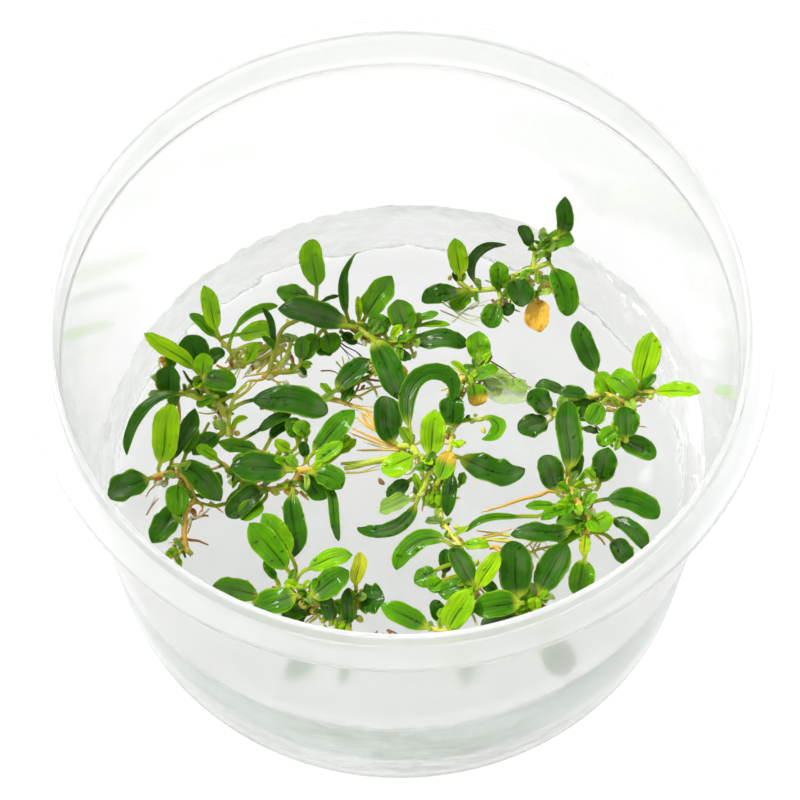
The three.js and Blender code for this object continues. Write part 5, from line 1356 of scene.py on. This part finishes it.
# %% [markdown]
# ## The clear cup
#
# The real cup is moulded in one piece: a tapered wall with a ring to stand on below, and a small step, an
# upright collar and a flat flange at its mouth. The packed solid could be kept, but its corners are sharp. So
# the cup is turned again: one closed outline, the solid's with rounded corners, is spun about the axis. A
# bright line along a rounded edge is most of what can be seen of clear plastic.

# %% Rounded outlines
CUP = dict(
    base_radius=42.8,
    wall=0.6,
    step_height=50.75,
    step_radius=46.25,
    foot_width=4.5,
    foot_rise=0.6,
    floor_top=1.4,
    collar_inside=45.9,
    collar_outside=46.7,
    flange_radius=50,
    flange_bottom=54.8,
    flange_top=55.7,
    height=58,
)
TURN_SIDES = 192
ARC_STEPS = 4


def rounded(corners):
    """A closed outline of (radius, height, rounding) with each corner turned into a small arc.

    A point just before and after each arc keeps the long faces flat, so that they don't bend light.
    """
    outline = []
    for i, (r, z, rounding) in enumerate(corners):
        here = Vector((r, z))
        if rounding <= 0:
            outline.append(here)
            continue
        back = Vector(corners[i - 1][:2]) - here
        on = Vector(corners[(i + 1) % len(corners)][:2]) - here
        start, end = (here + way.normalized() * rounding for way in (back, on))
        support = [min(rounding * 1.3, way.length * 0.49) for way in (back, on)]
        before, after = (here + way.normalized() * far for way, far in zip((back, on), support))
        shares = [k / ARC_STEPS for k in range(ARC_STEPS + 1)]
        arc = [start.lerp(here, s).lerp(here.lerp(end, s), s) for s in shares]
        outline += [before, *arc, after]
    return outline


def closed_skin(name, form, sharp):
    """The built form as a smooth mesh, in which only corners over so many degrees stay sharp."""
    bmesh.ops.recalc_face_normals(form, faces=form.faces)
    mesh = bpy.data.meshes.new(name)
    form.to_mesh(mesh)
    form.free()
    mesh.shade_smooth()
    mesh.set_sharp_from_angle(angle=math.radians(sharp))
    return placed(name, mesh)


def spun(name, outline):
    """The outline, turned about the axis into a closed skin."""
    form = bmesh.new()
    ring = [form.verts.new((p.x * MM, 0, p.y * MM)) for p in outline]
    edges = [form.edges.new((ring[i - 1], ring[i])) for i in range(1, len(ring))]
    turn = dict(cent=(0, 0, 0), axis=(0, 0, 1), angle=math.tau, steps=TURN_SIDES)
    bmesh.ops.spin(form, geom=ring + edges, **turn)
    bmesh.ops.remove_doubles(form, verts=form.verts, dist=0.002 * MM)
    return closed_skin(name, form, sharp=50)


def outer_radius(z):
    return CUP["base_radius"] + (CUP["step_radius"] - CUP["base_radius"]) * z / CUP["step_height"]


def inner_radius(z):
    return outer_radius(z) - CUP["wall"]


print("the cup's inner radius at the jelly's top:", round(inner_radius(GEL_TOP), 2), "mm")

# %% Turn the cup
foot_inside = CUP["base_radius"] - CUP["foot_width"]
cup_corners = [
    (0, CUP["foot_rise"], 0),
    (foot_inside - 3, CUP["foot_rise"], 0.8),
    (foot_inside, 0, 0.25),
    (CUP["base_radius"], 0, 0.7),
    (CUP["step_radius"], CUP["step_height"], 0.25),
    (CUP["collar_outside"], CUP["step_height"] + 0.6, 0.25),
    (CUP["collar_outside"], CUP["flange_bottom"], 0.25),
    (CUP["flange_radius"], CUP["flange_bottom"], 0.3),
    (CUP["flange_radius"], CUP["flange_top"], 0.3),
    (CUP["collar_outside"], CUP["flange_top"], 0.25),
    (CUP["collar_outside"], CUP["height"], 0.38),
    (CUP["collar_inside"], CUP["height"], 0.38),
    (CUP["collar_inside"], CUP["step_height"] + 0.4, 0.2),
    (inner_radius(CUP["step_height"]), CUP["step_height"], 0.2),
    (inner_radius(CUP["floor_top"]), CUP["floor_top"], 0.6),
    (0, CUP["floor_top"], 0),
]
cup = spun("clear_cup", rounded(cup_corners))
stands_for(cup, "cup")
print("cup polygons:", len(cup.data.polygons))

# %% [markdown]
# ## Clear plastic and clear jelly
#
# Both are see-through by plain transmission. The plastic bends light a little more than the jelly, which is
# mostly water. The jelly ends a hundredth of a millimetre short of the wall. Where light meets that thin gap
# at a slant it turns back, and the silvery rim that it makes is what is seen at the jelly's edge.
#
# This plastic isn't as clear as glass: it is a little milky, more so in the collar and on the outside. The
# milk is a second shader, mixed in by a small share, that lets light through but scatters all of it. A plain
# white one would come out dark inside the clear cup, where hardly any light falls on it from the front.
#
# The lowest part of the wall, from 8 mm up to the jelly's top, looks grey-green. That band is a painted
# reflection: a grey-green tint stands in for the plants' undersides, seen mirrored off the jelly's bottom.

# %% Clear finishes
PLASTIC = (0.985, 0.99, 0.987, 1)
PLASTIC_REFLECTION_TINT = (0.89, 0.945, 0.91, 1)
MILK = (0.97, 0.98, 0.975, 1)
MILK_REFLECTION_TINT = (0.67, 0.74, 0.695, 1)
REFLECTION_BAND_BOTTOM = 8
WALL_MILK = 0.07
OUTER_MILK = 0.14
COLLAR_MILK = 0.24
JELLY_NEAR = (0.79, 0.8, 0.78, 1)
JELLY_FAR = (0.925, 0.93, 0.92, 1)
JELLY_SIDE = (0.97, 0.98, 0.97, 1)


def make_milky(material, graph, shader, share, colour):
    """A share of the light is scattered by a white shader that is mixed with the clear one."""
    dull = {"Base Color": colour, "Roughness": 1.0, "Transmission Weight": 0.6, "IOR": 1.2}
    white = graph.node("ShaderNodeBsdfPrincipled", {}, dull)
    mixed = graph.node("ShaderNodeMixShader", {}, {0: share, 1: Socket(graph, shader.outputs[0]), 2: white})
    graph.tree.links.new(mixed.output, material.node_tree.nodes["Material Output"].inputs["Surface"])


def clear_plastic():
    material, graph, shader = skin_graph("clear_plastic")
    set_plain(shader, Transmission_Weight=1.0, IOR=1.49)
    place = graph.node("ShaderNodeTexCoord", out=3)
    haze = graph.cloud(place, 60.0, 3.0)
    join(graph, 0.08 + haze * 0.1, shader, "Roughness")
    x, y, height = graph.split(place)
    collar = graph.mask(height, (CUP["step_height"] - 1) * MM, CUP["step_height"] * MM)
    level = height - x * GEL_SLOPE[0] - y * GEL_SLOPE[1]
    above = graph.mask(level, (GEL_TOP - 0.2) * MM, (GEL_TOP + 0.3) * MM)
    # Painted reflection: a grey-green tint in the low wall stands in for the plants' undersides mirrored in
    # the jelly.
    reflection_band = graph.mask(height, REFLECTION_BAND_BOTTOM * MM, (REFLECTION_BAND_BOTTOM + 1) * MM) * (1 - above)
    join(graph, graph.mix(reflection_band, PLASTIC, PLASTIC_REFLECTION_TINT), shader, "Base Color")
    wall_slope = (CUP["step_radius"] - CUP["base_radius"]) / CUP["step_height"]
    depth = CUP["base_radius"] * MM + height * wall_slope - (x * x + y * y) ** 0.5
    outside = 1 - graph.mask(depth, 0.15 * MM, 0.35 * MM)
    milk = (WALL_MILK + haze * 0.06) * graph.maths("MAXIMUM", outside, above)
    milk = milk + outside * (1 - above) * OUTER_MILK + collar * COLLAR_MILK
    make_milky(material, graph, shader, milk, graph.mix(reflection_band, MILK, MILK_REFLECTION_TINT))
    return material


def clear_jelly():
    """The jelly is clearest at its side and, as the picture shows it, greyer toward the front."""
    material, graph, shader = skin_graph("clear_jelly")
    set_plain(shader, Transmission_Weight=1.0, IOR=1.34)
    place = graph.node("ShaderNodeTexCoord", out=3)
    x, y, _ = graph.split(place)
    tint = graph.mix(graph.mask(y, -32 * MM, 32 * MM), JELLY_NEAR, JELLY_FAR)
    side = graph.mask((x * x + y * y) ** 0.5, 41.4 * MM, 42.2 * MM)
    join(graph, graph.mix(side, tint, JELLY_SIDE), shader, "Base Color")
    waves = graph.cloud(place, 90.0, 3.0)
    join(graph, 0.04 + waves * 0.08, shader, "Roughness")
    join_bump(graph, shader, waves, strength=0.7, deep=1.0)
    return material


plastic = clear_plastic()
cup.data.materials.append(plastic)
print("nodes in the clear plastic:", len(plastic.node_tree.nodes))

# %% [markdown]
# ## The slab of jelly
#
# Culture jelly is poured in warm and sets in the cup. So it has the cup's shape below and a skin of its own
# on top, which is tilted, a little wavy, uneven near the wall and drawn up where it meets it. A plain disc
# with a bump in its material would look flat at its edge, and the edge is where clear jelly is seen best.
# Here the top is made of rings of points, and a rule gives each point its height.

# %% Pour the jelly
JELLY_RINGS = 60
JELLY_GAP = 0.01
JELLY_FOOT = 1.9
FOOT_CHAMFER = 0.5
CLIMB = 0.9
CLIMB_REACH = 0.8
BROKEN_EDGE = 0.45
BROKEN_REACH = 5


def lumps(x, y, seed, scale):
    return noise.noise(Vector((x, y, seed)) * scale)


def jelly_top(share, angle):
    """A place on the jelly's top, which is tilted, a little wavy, broken near the wall and climbs at it."""
    inside = inner_radius(GEL_TOP)
    reach = share * (inside - JELLY_GAP)
    x, y = reach * math.cos(angle), reach * math.sin(angle)
    from_wall = (1 - share) * inside
    wave = lumps(x, y, 3, 0.16) * 0.35 + lumps(x, y, 9, 0.5) * 0.1
    wave += lumps(x, y, 21, 0.55) * BROKEN_EDGE * math.exp(-from_wall / BROKEN_REACH)
    climb = (CLIMB + lumps(x, y, 40, 0.7) * 0.9) * math.exp(-from_wall / CLIMB_REACH)
    z = gel_top(x, y) + wave + climb
    fit = (inner_radius(z) - JELLY_GAP) / (inside - JELLY_GAP)
    return x * fit * MM, y * fit * MM, z * MM


def jelly():
    """A turned slab that fills the cup's foot and has a small chamfer at its lower edge."""
    form = bmesh.new()
    bottom = CUP["floor_top"] + JELLY_GAP
    angles = [math.tau * i / TURN_SIDES for i in range(TURN_SIDES)]
    middle_top = form.verts.new((0, 0, gel_top(0, 0) * MM))
    rows = []
    for k in range(1, JELLY_RINGS + 1):
        rows.append([form.verts.new(jelly_top(k / JELLY_RINGS, angle)) for angle in angles])
    side_foot = (inner_radius(JELLY_FOOT) - JELLY_GAP, JELLY_FOOT)
    for reach, z in (side_foot, (inner_radius(bottom) - FOOT_CHAMFER, bottom)):
        corners = [(reach * math.cos(a) * MM, reach * math.sin(a) * MM, z * MM) for a in angles]
        rows.append([form.verts.new(corner) for corner in corners])
    middle_bottom = form.verts.new((0, 0, bottom * MM))
    for i in range(TURN_SIDES):
        j = (i + 1) % TURN_SIDES
        form.faces.new((middle_top, rows[0][i], rows[0][j]))
        form.faces.new((middle_bottom, rows[-1][j], rows[-1][i]))
        for inside, outside in zip(rows, rows[1:]):
            form.faces.new((inside[i], outside[i], outside[j], inside[j]))
    return closed_skin("jelly", form, sharp=30)


gel = jelly()
gel.data.materials.append(clear_jelly())
stands_for(gel, "gel")
print("jelly polygons:", len(gel.data.polygons))

# %% [markdown]
# ## Floor and light
#
# The picture is high in key, as one taken on a light table: the white floor glows and so lights the clear
# plastic from below. The light from all round is soft. Overhead it is weaker than near the horizon, so that
# the leaves keep their deep colour. One small, strong lamp behind the object makes the glints on wet leaves.
#
# Light turns many corners inside clear things. Too few bounces, and the cup's edges come out black.

# %% Floor
FLOOR_HALF = 1.5
FLOOR_GREY = (0.14, 0.14, 0.14, 1)
FLOOR_GLOW = 0.95
FLOOR_DROP = 0.02
floor_mesh = bpy.data.meshes.new("floor")
floor_corners = [(x * FLOOR_HALF, y * FLOOR_HALF, 0) for x, y in ((-1, -1), (1, -1), (1, 1), (-1, 1))]
floor_mesh.from_pydata(floor_corners, [], [(0, 1, 2, 3)])
floor = placed("floor", floor_mesh)
floor.location.z = -FLOOR_DROP * MM
floor_paint, graph, shader = skin_graph("floor_paint")
set_plain(shader, Base_Color=FLOOR_GREY, Roughness=1.0, Specular_IOR_Level=0.0)
set_plain(shader, Emission_Color=(1, 1, 1, 1), Emission_Strength=FLOOR_GLOW)
floor_mesh.materials.append(floor_paint)
print("floor glow:", FLOOR_GLOW)

# %% Light
SKY_GREYS = [(0.0, 1.25), (0.35, 1.15), (0.7, 0.75), (1.0, 0.52)]
LAMP_PLACE = (-0.42, 0.3, 0.62)
LAMP_SIZE = (0.18, 0.14)
LAMP_POWER = 5.5
BOUNCES = {"max": 16, "transmission": 16, "diffuse": 3, "glossy": 12}

world = bpy.data.worlds.new("studio")
world.use_nodes = True
scene.world = world
graph = Graph(world.node_tree)
_, _, height = graph.split(graph.node("ShaderNodeTexCoord", out=0))
stops = [(level, (grey, grey, grey)) for level, grey in SKY_GREYS]
shade = graph.node("ShaderNodeValToRGB", {"stops": stops}, {"Fac": height})
background = world.node_tree.nodes["Background"]
graph.tree.links.new(shade.output, background.inputs["Color"])
background.inputs["Strength"].default_value = 1.0

lamp_data = bpy.data.lights.new("soft_lamp", "AREA")
lamp_data.shape = "RECTANGLE"
lamp_data.size, lamp_data.size_y = LAMP_SIZE
lamp_data.energy = LAMP_POWER
lamp = placed("soft_lamp", lamp_data)
lamp.location = LAMP_PLACE
lamp.rotation_euler = (Vector((0, 0, 0.02)) - lamp.location).to_track_quat("-Z", "Y").to_euler()
scene.view_settings.view_transform = "Standard"
for kind, count in BOUNCES.items():
    setattr(scene.cycles, kind + "_bounces", count)
print("lamp at", [round(v, 2) for v in lamp.location])

# %% [markdown]
# ## The end
